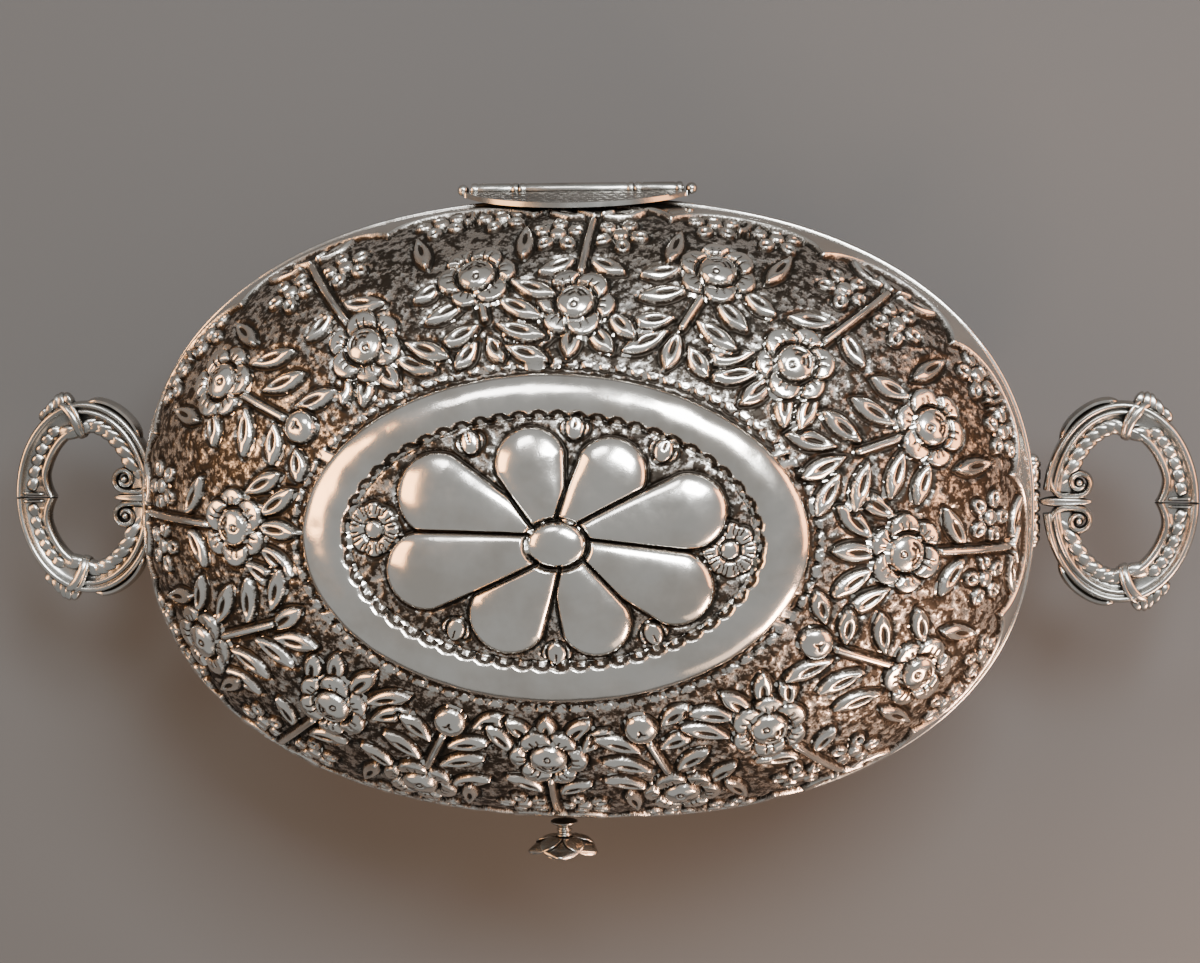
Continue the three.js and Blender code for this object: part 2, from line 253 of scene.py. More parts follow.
# ---------------------------------------------------------------- mesh helpers
def new_object(bm, name):
    """Writes a bmesh to a new smooth-shaded object in the scene."""
    mesh = bpy.data.meshes.new(name)
    bm.to_mesh(mesh)
    bm.free()
    mesh.shade_smooth()
    obj = bpy.data.objects.new(name, mesh)
    bpy.context.scene.collection.objects.link(obj)
    return obj


def set_piece(obj, body, material, replaces=()):
    """Gives a finished piece its material, its body and the CAD nodes that it stands for."""
    obj.data.materials.append(material)
    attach(obj, body)
    if replaces:
        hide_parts(*replaces)
    return obj


def to_frame(bm, origin):
    """Moves a mesh made in millimetres about an origin to its place in the frame."""
    bmesh.ops.scale(bm, vec=Vector((MM, MM, MM)), verts=bm.verts)
    bmesh.ops.translate(bm, vec=Vector(origin) * MM, verts=bm.verts)


def spun(profile, start, sweep, steps, cuts=0):
    """Spins a closed profile of (radius, height) points about Z. A part turn gets end faces.

    A profile that starts and ends on the axis closes there. Each step is then cut again into cuts + 1.
    """
    bm = bmesh.new()
    turn = Matrix.Rotation(start, 3, "Z")
    verts = [bm.verts.new(turn @ Vector((radius, 0, height))) for radius, height in profile]
    full = abs(sweep - FULL_TURN) < 1e-6
    on_axis = profile[0][0] == 0
    edges = [bm.edges.new(pair) for pair in zip(verts, verts[1:])]
    if not on_axis:
        edges.append(bm.edges.new((verts[-1], verts[0])))
    geometry = verts + edges
    if not full:
        geometry.append(bm.faces.new(verts))
    bmesh.ops.spin(bm, geom=geometry, cent=(0, 0, 0), axis=(0, 0, 1), angle=sweep, steps=steps,
                   use_merge=full)
    bmesh.ops.remove_doubles(bm, verts=bm.verts, dist=1e-4)
    keep_corners_sharp(bm)
    if cuts:
        around = [edge for edge in bm.edges
                  if edge.verts[0].co.z == edge.verts[1].co.z and edge_turns(edge)]
        bmesh.ops.subdivide_edges(bm, edges=around, cuts=cuts, use_grid_fill=True)
    bmesh.ops.recalc_face_normals(bm, faces=bm.faces)
    return bm


def keep_corners_sharp(bm, angle=1.0):
    """Marks the edges where faces meet at more than an angle, so that shading doesn't round them."""
    for edge in bm.edges:
        if edge.is_manifold and edge.calc_face_angle() > angle:
            edge.smooth = False


def edge_turns(edge):
    """True for an edge that runs round the axis."""
    first, second = (vert.co for vert in edge.verts)
    return abs(first.x * second.y - first.y * second.x) > 1e-4 * first.xy.length * second.xy.length


def swept(profile, origins, sides, lifts, closed=False, reshape=None):
    """Sweeps a closed profile of (side, lift) points through stations, each with its own two directions.

    reshape may change a profile point at a station's share of the way along. Stations that come back to
    the first one give a closed ring.
    """
    bm = bmesh.new()
    verts = [bm.verts.new((side, lift, 0)) for side, lift in profile]
    geometry = verts + [bm.edges.new(pair) for pair in zip(verts, verts[1:] + verts[:1])]
    if not closed:
        geometry.append(bm.faces.new(verts))
    count = len(origins)
    bmesh.ops.spin(bm, geom=geometry, cent=(0, 0, 0), axis=(0, 0, 1), angle=0, dvec=(0, 0, 1),
                   steps=count - 1)
    for vert in bm.verts:
        n = round(vert.co.z)
        side, lift = vert.co.x, vert.co.y
        if reshape:
            side, lift = reshape(n / (count - 1), side, lift)
        vert.co = Vector(origins[n]) + Vector(sides[n]) * side + Vector(lifts[n]) * lift
    if closed:
        bmesh.ops.remove_doubles(bm, verts=bm.verts, dist=1e-3)
    bmesh.ops.recalc_face_normals(bm, faces=bm.faces)
    keep_corners_sharp(bm)
    return bm


def circle_profile(count):
    """A circle of radius 1 as a closed profile."""
    return [(math.cos(n * FULL_TURN / count), math.sin(n * FULL_TURN / count)) for n in range(count)]


def rod(path, up, across, tall, sides=10, closed=False):
    """An oval-sectioned rod along a path. across and tall are half sizes, one for all or one for each point.

    up is the direction of the tall half: one for the whole path, or one for each point.
    """
    path = np.array(path, float)
    if closed:
        tangents = np.roll(path[:-1], -1, axis=0) - np.roll(path[:-1], 1, axis=0)
        tangents = np.vstack([tangents, tangents[:1]])
    else:
        tangents = np.gradient(path, axis=0)
    tangents /= np.linalg.norm(tangents, axis=1)[:, None]
    ups = np.broadcast_to(np.array(up, float), path.shape)
    side = np.cross(ups, tangents)
    side /= np.linalg.norm(side, axis=1)[:, None]
    lift = np.cross(tangents, side)
    across = np.broadcast_to(across, len(path))[:, None]
    tall = np.broadcast_to(tall, len(path))[:, None]
    return swept(circle_profile(sides), path, side * across, lift * tall, closed)


def tapered(count, full, ends=0.12, run=0.2):
    """A size for each point of a path that rounds down to a share of itself at both ends."""
    share = np.linspace(0, 1, count)
    inward = np.minimum(share, 1 - share) / run
    return full * np.maximum(ends, np.sqrt(1 - (1 - np.clip(inward, 0, 1)) ** 2))


def lump(length, width, height, place, heading, point=0.0, groove=0.0, count=14):
    """A rounded lump along a heading in the XY plane. point narrows its front end, and groove slits it."""
    bm = bmesh.new()
    bmesh.ops.create_uvsphere(bm, u_segments=count, v_segments=count * 2 // 3, radius=1)
    bmesh.ops.rotate(bm, verts=bm.verts, matrix=Matrix.Rotation(math.pi / 2, 3, "Y"))
    for vert in bm.verts:
        x, y, z = vert.co
        narrow = 1 - point * (x + 1) / 2
        sink = 1 - groove * math.exp(-(y / 0.3) ** 2)
        vert.co = Vector((x * length / 2, y * width / 2 * narrow, z * height * narrow ** 0.5 * sink))
    turn = Matrix.Rotation(heading, 3, "Z")
    bmesh.ops.rotate(bm, verts=bm.verts, matrix=turn)
    bmesh.ops.translate(bm, verts=bm.verts, vec=Vector(place))
    return bm


def gathered(parts):
    """Brings several meshes into one."""
    whole = bmesh.new()
    for part in parts:
        mesh = bpy.data.meshes.new("part")
        part.to_mesh(mesh)
        part.free()
        whole.from_mesh(mesh)
        bpy.data.meshes.remove(mesh)
    return whole


def oval_band(profile, half_length, half_width, steps=288):
    """A ring that follows an oval. The profile is of (distance outside the oval, height) points."""
    turns = np.linspace(0, FULL_TURN, steps + 1)
    along, across = np.cos(turns), np.sin(turns)
    full = filled_out(along, across)
    origins = np.stack([half_length * along * full, half_width * across * full, 0 * turns], axis=1)
    outward = np.stack([np.sign(along) * np.abs(along) ** (FULLNESS - 1) / half_length,
                        np.sign(across) * np.abs(across) ** (FULLNESS - 1) / half_width, 0 * turns], axis=1)
    outward /= np.linalg.norm(outward, axis=1)[:, None]
    return swept(profile, origins, outward, [UP] * (steps + 1), closed=True)


def rounded(points, turns=2, bulge=0.5):
    """Rounds the corners of a closed profile by cutting them again and again."""
    for _ in range(turns):
        cut = []
        for here, there in zip(points, points[1:] + points[:1]):
            for share in (bulge / 2, 1 - bulge / 2):
                cut.append(tuple(a + (b - a) * share for a, b in zip(here, there)))
        points = cut
    return points


# ---------------------------------------------------------------- chased work
def filled_out(along, across):
    """How far the body's outline stands outside a circle, in a direction given by its two unit parts."""
    return (np.abs(along) ** FULLNESS + np.abs(across) ** FULLNESS) ** (-1 / FULLNESS)


class Dome:
    """One half of the body: a full oval dome above (side 1) or below (side -1) the mouth."""

    def __init__(self, rise, side):
        self.axes = np.array([HALF_LENGTH, HALF_WIDTH, rise])
        self.side = side

    def point(self, angle, latitude):
        """Place on the sheet at an angle round the oval and a latitude up from the mouth (radians)."""
        along, across = math.cos(angle), math.sin(angle)
        reach = math.cos(latitude) * filled_out(along, across)
        return self.axes * np.array([reach * along, reach * across, self.side * math.sin(latitude)])

    def share(self, points):
        """Share of the outline at which points lie, seen from above: 1 at the mouth, 0 in the middle."""
        part = np.abs(points[..., :2] / self.axes[:2]) ** FULLNESS
        return part.sum(axis=-1) ** (1 / FULLNESS)

    def level(self, points):
        """1 on the sheet, less inside it."""
        return np.hypot(self.share(points), points[..., 2] / self.axes[2])

    def height(self, x, y):
        return self.side * self.axes[2] * math.sqrt(1 - self.share(np.array([x, y, 0])) ** 2)

    def normal(self, points):
        share = np.maximum(self.share(points), 1e-9)[..., None]
        part = points[..., :2] / self.axes[:2]
        flat = share * (np.abs(part) / share) ** (FULLNESS - 1) * np.sign(part) / self.axes[:2]
        normal = np.concatenate([flat, points[..., 2:] / self.axes[2] ** 2], axis=-1)
        return normal / np.linalg.norm(normal, axis=-1, keepdims=True)

    def per_radian(self, angle, latitude):
        """Millimetres along the sheet per radian of angle and of latitude."""
        step = 1e-3
        here = self.point(angle, latitude)
        around = np.linalg.norm(self.point(angle + step, latitude) - here) / step
        upward = np.linalg.norm(self.point(angle, latitude + step) - here) / step
        return around, upward


def smooth_step(value, low, high):
    """0 below low, 1 above high, and an even curve between them."""
    share = np.clip((value - low) / (high - low), 0, 1)
    return share * share * (3 - 2 * share)


def domed(distance, radius):
    """Height of a half ball of radius 1, drawn out to a radius."""
    return np.sqrt((1 - (distance / radius) ** 2).clip(0))


def turned(x, y, angle):
    """Coordinates along a direction at an angle, and to its left."""
    return x * math.cos(angle) + y * math.sin(angle), -x * math.sin(angle) + y * math.cos(angle)


# A distance past the reach of any tool, for points that a stroke leaves alone.
FAR = 9.0


class Chasing:
    """Height and oxide of chased work at a set of points on a sheet, in millimetres."""

    GROUND = -0.55

    def __init__(self, points, normals):
        self.points = points
        self.normals = normals
        self.height = np.full(len(points), self.GROUND)
        self.recess = np.full(len(points), 0.66)

    def near(self, centre, along, reach):
        """Points within reach of a centre, with their coordinates along and across a direction."""
        offset = self.points - centre
        close = np.flatnonzero(np.abs(offset).max(axis=1) < reach)
        if not len(close):
            return close, None, None
        normal = self.normals[close[np.argmin((offset[close] ** 2).sum(axis=1))]]
        along = along - normal * (along @ normal)
        along = along / np.linalg.norm(along)
        across = np.cross(normal, along)
        return close, offset[close] @ along, offset[close] @ across

    def raise_shape(self, close, edge, crown, line=0.76, depth=0.38):
        """Raises the points inside a shape to its crown and sinks a dark line round it.

        edge is the distance outside the shape's outline, crown the height above the ground inside it.
        """
        inside = smooth_step(-edge, -0.10, 0.14)
        groove = 1 - smooth_step(np.abs(edge - line * 0.35), line * 0.25, line)
        height = self.height[close]
        recess = self.recess[close]
        outside_height = np.minimum(height, self.GROUND + (height - self.GROUND) * (1 - groove))
        outside_height -= depth * groove
        outside_recess = np.maximum(recess, groove)
        rim = 0.55 * (1 - smooth_step(-edge, 0.02, 0.45))
        self.height[close] = outside_height * (1 - inside) + (self.GROUND + crown) * inside
        self.recess[close] = outside_recess * (1 - inside) + rim * inside

    def cut(self, close, edge, depth=0.35, width=0.3):
        """Cuts a dark line or pit where edge, the distance from its middle, is under its width."""
        share = 1 - smooth_step(edge, width * 0.35, width)
        self.height[close] -= depth * share
        self.recess[close] = np.maximum(self.recess[close], share)

    def leaf(self, centre, along, length=7.6, width=3.0, slit=True):
        """A pointed leaf, widest nearer its root, with a dark slit down its middle."""
        close, x, y = self.near(centre, along, length)
        if not len(close):
            return
        share = np.clip(0.5 - x / length, 0, 1)
        half = width / 2 * np.sin(math.pi * share ** 0.85) ** 0.9
        beyond = np.maximum(np.abs(x) - length / 2, 0)
        edge = np.hypot(np.maximum(np.abs(y) - half, 0), beyond)
        edge = np.where((np.abs(y) < half) & (beyond == 0), (np.abs(y) - half) * 0.85, edge)
        crown = 0.30 + 0.62 * (1 - (y / np.maximum(half, 0.2)) ** 2).clip(0)
        self.raise_shape(close, edge, crown)
        if slit:
            eye = np.hypot((x + 0.04 * length) / (length * 0.25), y / 0.56) * 0.3
            self.cut(close, eye, 0.60, 0.36)

    def stem(self, path, width=1.1):
        """A half-round stem along a path of points on the sheet."""
        path = np.array(path)
        low, high = path.min(axis=0) - 3, path.max(axis=0) + 3
        close = np.flatnonzero(((self.points > low) & (self.points < high)).all(axis=1))
        if not len(close):
            return
        distance = np.full(len(close), 1e9)
        for start, end in zip(path, path[1:]):
            run = end - start
            share = ((self.points[close] - start) @ run / (run @ run)).clip(0, 1)
            away = self.points[close] - start - share[:, None] * run
            distance = np.minimum(distance, np.linalg.norm(away, axis=1))
        crown = 0.25 + 0.55 * domed(distance, width / 2)
        self.raise_shape(close, distance - width / 2, crown)

    def rose(self, centre, up, radius=6.5, petals=6, turn=0.0):
        """An open rose: broad rounded petals round a domed heart that is cut with crescents."""
        close, x, y = self.near(centre, up, radius * 1.3)
        if not len(close):
            return
        for n in (*range(0, petals, 2), *range(1, petals, 2)):
            angle = turn + n * FULL_TURN / petals
            out, side = turned(x, y, angle)
            from_middle = np.hypot((out - radius * 0.62) / 0.98, side)
            half = radius * 0.405
            share = (from_middle / half).clip(0, 1)
            crown = 0.62 + 0.20 * (1 - share ** 2) + 0.20 * smooth_step(out, radius * 0.45, radius * 0.85)
            self.raise_shape(close, from_middle - half, crown, line=0.50)
            for offset in (-0.13, 0.13):
                on_petal = (out > radius * 0.55) & (out < radius * 0.80)
                stroke = np.where(on_petal, np.abs(side - offset * out), FAR)
                self.cut(close, stroke, 0.16, 0.24)
        self.heart(centre, up, radius * 0.48)

    def heart(self, centre, up, radius):
        """The dome in the middle of a rose, with two arcs of crescents and a small eye."""
        close, x, y = self.near(centre, up, radius * 1.6)
        if not len(close):
            return
        distance = np.hypot(x, y)
        dome = domed(distance, radius)
        self.raise_shape(close, distance - radius, 0.55 + 1.25 * dome, line=0.72, depth=0.45)
        for size, half_turn, shift in ((0.66, 1.15, 0.05), (0.36, 1.25, -0.02)):
            from_shift = np.hypot(x + shift * radius, y)
            bearing = np.abs(np.arctan2(y, x + shift * radius))
            on_arc = (bearing < half_turn) & (bearing > 0.12)
            arc = np.where(on_arc, np.abs(from_shift - size * radius), FAR)
            self.cut(close, arc, 0.40, 0.40)
        eye = np.hypot(x + 0.36 * radius, y)
        self.cut(close, np.abs(eye - 0.16 * radius), 0.25, 0.24)

    def daisy(self, centre, up, radius=4.8, petals=5, turn=0.0):
        """A small flower of pierced-looking petals round a button."""
        close, x, y = self.near(centre, up, radius * 1.4)
        if not len(close):
            return
        for n in range(petals):
            angle = turn + n * FULL_TURN / petals
            out, side = turned(x, y, angle)
            from_middle = np.hypot((out - radius * 0.66) / 1.25, side)
            half = radius * 0.27
            crown = 0.60 + 0.15 * (1 - (from_middle / half) ** 2).clip(0)
            self.raise_shape(close, from_middle - half, crown, line=0.55)
            pit = np.hypot((out - radius * 0.74) / 1.5, side)
            self.cut(close, pit, 0.8, 0.72)
        distance = np.hypot(x, y)
        button = radius * 0.29
        dome = domed(distance, button)
        self.raise_shape(close, distance - button, 0.40 + 0.55 * dome, line=0.42)

    def bud(self, centre, up, radius=2.7):
        """A round closed bud on the end of a stem, with three short cuts where it will open."""
        close, x, y = self.near(centre, up, radius * 1.7)
        if not len(close):
            return
        distance = np.hypot(x, y)
        outline = radius * (1 + 0.16 * np.clip(x / np.maximum(distance, 0.1), 0, 1) ** 2)
        dome = domed(distance, outline)
        self.raise_shape(close, distance - outline, 0.40 + 1.25 * dome, line=0.6, depth=0.4)
        for angle in (0.0, 2.1, -2.1):
            out, side = turned(x, y, angle)
            slit = np.hypot((out - radius * 0.15) / 2.2, side)
            self.cut(close, slit, 0.35, 0.34)

    def crescent(self, centre, outward, radius=1.6, half_turn=1.2, width=0.44):
        """One blow of a crescent punch, bulging outward."""
        close, x, y = self.near(centre, outward, radius * 2.2)
        if not len(close):
            return
        from_middle = np.hypot(x + radius * 0.6, y)
        bearing = np.abs(np.arctan2(y, x + radius * 0.6))
        arc = np.where(bearing < half_turn, np.abs(from_middle - radius), FAR)
        self.cut(close, arc, 0.42, width)
        pad = (from_middle < radius - width) & (bearing < half_turn)
        self.recess[close] = np.where(pad, self.recess[close] * 0.5, self.recess[close])


def matting(points, size):
    """The ragged texture that a matting punch leaves, from -1 to 1, with dents about a size apart."""
    total = np.zeros(len(points))
    for scale, weight in ((size, 0.65), (size * 0.52, 0.5)):
        cell = points / scale
        base = np.floor(cell)
        part = cell - base
        part = part * part * (3 - 2 * part)
        for corner in np.ndindex(2, 2, 2):
            knot = base + corner
            seed = np.sin(knot @ np.array([12.9898, 78.233, 37.719])) * 43758.5453
            share = np.where(corner, part, 1 - part).prod(axis=1)
            total += weight * share * (2 * (seed - np.floor(seed)) - 1)
    return np.clip(total * 1.5, -1, 1)


# ---------------------------------------------------------------- the plants round the field
# Places on a half of the body are given by an angle round the oval and a share of its outline: 1 at the
# mouth, falling to 0 at the middle. Angle of each plant in degrees, from +X towards the hinge, its kind,
# and the share at its rose. A "fan" has its rose low over a fan of leaves, a "spray" has a high rose over
# a leafy stem, and a "bud" is a spray that ends in a bud.
PLANTS = (
    (355.5, "fan", 0.729), (22.0, "spray", 0.821), (46.0, "fan", 0.690), (67.0, "spray", 0.834),
    (86.5, "fan", 0.704), (102.5, "spray", 0.792), (125.0, "fan", 0.674), (148.5, "bud", 0.840),
    (179.0, "fan", 0.700), (205.0, "spray", 0.866), (228.0, "fan", 0.709), (248.3, "bud", 0.865),
    (267.8, "fan", 0.705), (286.5, "bud", 0.862), (306.5, "fan", 0.716), (329.5, "bud", 0.846),
)
ROSE_SHARE = {"fan": 0.705, "spray": 0.835, "bud": 0.845}

# Leaves of each kind of plant, from root to tip: millimetres to the side and share, with the rose at its
# usual share. A plant whose rose sits elsewhere moves its leaves with it.
LEAVES = {
    "fan": (
        (0, 0.655, 0, 0.548), (-2.2, 0.645, -7.4, 0.568), (2.2, 0.645, 7.4, 0.568),
        (-5.6, 0.685, -10.2, 0.605), (5.6, 0.685, 10.2, 0.605),
        (-0.6, 0.835, -7.6, 0.79), (0.6, 0.835, 7.6, 0.79),
    ),
    "spray": (
        (0, 0.655, -1.5, 0.545), (-2.2, 0.625, -8.8, 0.56), (1.8, 0.645, 6.4, 0.56),
        (-1.2, 0.695, -9.6, 0.645), (1.0, 0.69, 8.4, 0.655), (-1.8, 0.765, -9.8, 0.705),
        (1.6, 0.775, 9.4, 0.73), (-5.4, 0.81, -12.2, 0.765), (5.4, 0.825, 11.2, 0.785),
    ),
    "bud": (
        (-1.4, 0.665, -8.6, 0.615), (1.2, 0.67, 8.0, 0.635), (-1.6, 0.745, -9.4, 0.69),
        (1.4, 0.75, 9.0, 0.70), (-4.6, 0.81, -11.6, 0.76), (5.0, 0.82, 11.4, 0.78), (3.4, 0.60, 8.6, 0.555),
    ),
}
DAISY_SHARE = {"fan": 0.905, "spray": 0.958, "bud": 0.960}


class Field:
    """The band of plants on one half of the body."""

    def __init__(self, dome):
        self.dome = dome

    def place(self, angle, side, share):
        """Point beside a plant's own line, side in millimetres."""
        latitude = math.acos(min(share, 0.999))
        around, _ = self.dome.per_radian(angle, latitude)
        return self.dome.point(angle + side / around, latitude)

    def leaf(self, work, angle, root, tip, width=3.3):
        start, end = self.place(angle, *root), self.place(angle, *tip)
        along = end - start
        length = max(5.2, min(9.0, np.linalg.norm(along)))
        work.leaf((start + end) / 2, along, length, width)

    def line(self, work, angle, ends, width=1.25):
        (first_side, first_share), (last_side, last_share) = ends
        steps = np.linspace(0, 1, 9)
        places = [(first_side + (last_side - first_side) * t, first_share + (last_share - first_share) * t)
                  for t in steps]
        work.stem([self.place(angle, side, share) for side, share in places], width)

    def plant(self, work, degrees, kind, rose_share, steps):
        """One plant: leaves first, then stems, then flowers, each over the last."""
        angle = math.radians(degrees)
        moved = rose_share - ROSE_SHARE[kind]
        here = self.place(angle, 0, rose_share)
        straight_up = self.place(angle, 0, rose_share + 0.01) - here
        jog = steps.normal(size=(len(LEAVES[kind]), 4))

        for (root_side, root, tip_side, tip), (j1, j2, j3, j4) in zip(LEAVES[kind], jog):
            shift = moved * (1 if root > 0.6 else 0.5)
            self.leaf(work, angle, (root_side + 0.25 * j1, root + shift + 0.004 * j2),
                      (tip_side + 0.35 * j3, max(tip + shift + 0.005 * j4, 0.535)))
        for side in (-1, 1):
            lean = steps.normal() * 0.25
            flower_share = DAISY_SHARE[kind] + 0.004 * lean
            if kind == "fan":
                self.leaf(work, angle, (side * 1.2, 0.950), (side * 8.6, 0.972), 2.6)
            else:
                self.leaf(work, angle, (side * 9.6, 0.930), (side * 8.2, 0.830), 2.9)
                self.leaf(work, angle, (side * 0.8, 0.945), (side * 0.6, 0.990), 2.4)
            flower = self.place(angle, side * (5.3 + 0.4 * lean), flower_share)
            work.daisy(flower, straight_up, turn=2 * lean)
        if kind == "fan":
            self.line(work, angle, ((0, rose_share), (0, 0.958)))
            for side in (-1, 1):
                self.line(work, angle, ((0, 0.957), (side * 3.0, 0.968)), 0.8)
        else:
            self.line(work, angle, ((0, 0.645 if kind == "bud" else 0.665), (0, rose_share)))
        if kind == "bud":
            work.bud(self.place(angle, 0, 0.612), -straight_up)
        work.rose(here, straight_up, turn=math.pi / 6 + 0.15 * steps.normal())

    def border(self, work, latitudes, angles):
        """The scalloped edge of the plain band, one arch over each plant."""
        centres = np.sort(np.radians([plant[0] for plant in PLANTS]))
        following = np.append(centres[1:], centres[0] + FULL_TURN)
        cusps = np.mod((centres + following) / 2, FULL_TURN)
        cusps.sort()
        after = np.searchsorted(cusps, angles) % len(cusps)
        before = (after - 1) % len(cusps)
        span = np.mod(cusps[after] - cusps[before], FULL_TURN)
        share = np.mod(angles - cusps[before], FULL_TURN) / span * 2 - 1
        arch = (1 - np.abs(share) ** 2.4) ** 0.75
        edge_latitude = 0.305 - 0.130 * arch
        edge = (latitudes - edge_latitude) * self.dome.axes[2] * 0.92
        close = np.flatnonzero(edge < 1.2)
        plain = np.full(len(close), -work.GROUND)
        work.raise_shape(close, edge[close], plain, line=0.8, depth=0.4)
        lip = np.abs(edge[close] + 0.7)
        work.height[close] += 0.18 * (1 - smooth_step(lip, 0.1, 0.6))

    def crescent_row(self, work, half_axes, pitch, towards=1):
        """A row of crescent punches along an ellipse on the dome. towards is 1 outward, -1 inward."""
        a, b = half_axes
        for angle in ellipse_steps(a, b, pitch):
            x, y = a * math.cos(angle), b * math.sin(angle)
            outward = np.array([x / a ** 2, y / b ** 2, 0])
            work.crescent(crown_place(self.dome, x, y), towards * outward)


def ellipse_steps(a, b, pitch):
    """Angles of evenly spaced points round an ellipse, about a pitch apart."""
    fine = np.linspace(0, FULL_TURN, 2001)
    run = np.hypot(a * np.sin(fine), b * np.cos(fine))
    length = np.concatenate([[0], np.cumsum((run[1:] + run[:-1]) / 2 * np.diff(fine))])
    count = round(length[-1] / pitch)
    return np.interp(np.arange(count) * length[-1] / count, length, fine)


# ---------------------------------------------------------------- the medallion on the lid
# Half lengths and half widths of the plain oval cushion and of the boss, and the boss's place.
CUSHION_OUTER = (41.8, 27.0)
CUSHION_INNER = (33.9, 20.5)
BOSS = (1.5, -0.1)
BOSS_HALF = (4.7, 3.6)
# Centre of each petal's round end from the boss, and its radius.
PETALS = (
    (-19.6, 7.7, 6.9), (-4.3, 13.0, 5.8), (8.6, 11.3, 5.9), (21.1, 5.2, 6.2),
    (18.9, -7.3, 6.2), (5.9, -12.9, 5.8), (-8.3, -12.0, 6.5), (-22.1, -4.8, 6.5),
)
# Places of the two flat rosettes at the ends and of the fan buds between the petals. The buds open square to
# an oval of these half sizes.
SIDE_ROSETTES = ((-29.2, 1.7), (29.2, -1.3))
FAN_OVAL = (34, 20)
FAN_BUDS = ((-12.6, 15.2), (4.2, 17.6), (18.2, 14.0), (16.4, -14.2), (0.8, -17.6), (-15.4, -13.8))


def ellipse_edge(x, y, a, b):
    """Distance outside an ellipse, near enough for a chased edge."""
    level = np.hypot(x / a, y / b)
    slope = np.hypot(x / a ** 2, y / b ** 2) / np.maximum(level, 1e-6)
    return (level - 1) / np.maximum(slope, 1e-6)


def crown_place(dome, x, y):
    """The point of a dome's sheet that is over or under x and y."""
    return np.array([x, y, dome.height(x, y)])


def chase_medallion(work, dome, field):
    """The plain oval cushion and the eight-petalled flower that it frames."""
    x, y = work.points[:, 0], work.points[:, 1]
    everywhere = np.arange(len(x))
    outer = ellipse_edge(x, y, *CUSHION_OUTER)
    inner = ellipse_edge(x, y, *CUSHION_INNER)
    width = np.maximum(inner - outer, 1)
    across = np.clip(inner / width, 0, 1) * 2 - 1
    crown = 0.5 + 1.3 * np.sqrt((1 - across ** 2 * 0.97).clip(0))
    work.raise_shape(everywhere, np.maximum(outer, -inner), crown, line=0.55, depth=0.35)

    for ornament_x, ornament_y in SIDE_ROSETTES:
        flat_rosette(work, crown_place(dome, ornament_x, ornament_y))
    for ornament_x, ornament_y in FAN_BUDS:
        outward = np.array([ornament_x / FAN_OVAL[0] ** 2, ornament_y / FAN_OVAL[1] ** 2, 0])
        fan_bud(work, crown_place(dome, ornament_x, ornament_y), outward)
    a, b = CUSHION_INNER
    field.crescent_row(work, (a - 0.1, b - 0.1), 3.2)

    boss_x, boss_y = BOSS
    for end_x, end_y, radius in PETALS:
        length = math.hypot(end_x, end_y)
        out = ((x - boss_x) * end_x + (y - boss_y) * end_y) / length
        side = (-(x - boss_x) * end_y + (y - boss_y) * end_x) / length
        share = np.clip(out / length, 0, 1)
        half = 0.9 + (radius - 0.9) * share ** 0.84
        past = np.where(out > length, out - length, 0)
        from_axis = np.hypot(side, past)
        pillow = domed(from_axis, half)
        close = np.flatnonzero((from_axis < half + 1.5) & (out > 0))
        crown = 0.35 + 1.75 * pillow * (0.55 + 0.45 * share)
        work.raise_shape(close, (from_axis - half)[close], crown[close], line=0.55, depth=0.45)
    from_boss = ellipse_edge(x - boss_x, y - boss_y, *BOSS_HALF)
    dome_share = domed(np.hypot((x - boss_x) / BOSS_HALF[0], (y - boss_y) / BOSS_HALF[1]), 1)
    close = np.flatnonzero(from_boss < 2)
    work.raise_shape(close, from_boss[close], (0.9 + 1.55 * dome_share)[close], line=0.75, depth=0.5)


def flat_rosette(work, centre):
    """A low round rosette of slit petals in the medallion's ground."""
    radius = 4.5
    close, x, y = work.near(centre, np.array([0.0, 1.0, 0.0]), radius * 1.3)
    if not len(close):
        return
    distance = np.hypot(x, y)
    angle = np.arctan2(y, x)
    petals = 8
    outline = radius * (0.86 + 0.14 * np.abs(np.cos(angle * petals / 2)) ** 0.6)
    work.raise_shape(close, distance - outline, 0.30 + 0.35 * smooth_step(distance, 1.2, 3.0))
    for offset in (0.0, 0.18, -0.18):
        spread = math.pi / petals if offset == 0 else offset
        ray = np.mod(angle + spread, FULL_TURN / petals)
        ray = np.minimum(ray, FULL_TURN / petals - ray) * distance
        start = 1.8 if offset == 0 else 2.6
        stroke = np.where((distance > start) & (distance < outline * 0.95), ray, FAR)
        work.cut(close, stroke, 0.25, 0.26)
    button = 1.5
    work.raise_shape(close, distance - button, 0.35 + 0.5 * domed(distance, button), line=0.4)


def fan_bud(work, centre, outward):
    """Three little lobes that fan out between two petals."""
    close, x, y = work.near(centre, outward, 5)
    if not len(close):
        return
    for angle, size in ((0.85, 1.35), (-0.85, 1.35), (0.0, 1.5)):
        out, side = turned(x, y, angle)
        from_middle = np.hypot((out - 1.0) / 1.35, side)
        crown = 0.35 + 0.4 * (1 - (from_middle / size) ** 2).clip(0)
        work.raise_shape(close, from_middle - size, crown, line=0.35)
        stroke = np.where((out > 0.9) & (out < 2.4), np.abs(side), FAR)
        work.cut(close, stroke, 0.3, 0.24)


# ---------------------------------------------------------------- shells
lid_dome = Dome(LID_RISE, 1)
bowl_dome = Dome(BOWL_ROUNDNESS, -1)
MEDALLION_SHARE = 0.53
FLOOR_SHARE = math.sqrt(1 - (BOWL_DEPTH / BOWL_ROUNDNESS) ** 2)
lid_field = Field(lid_dome)
bowl_field = Field(bowl_dome)


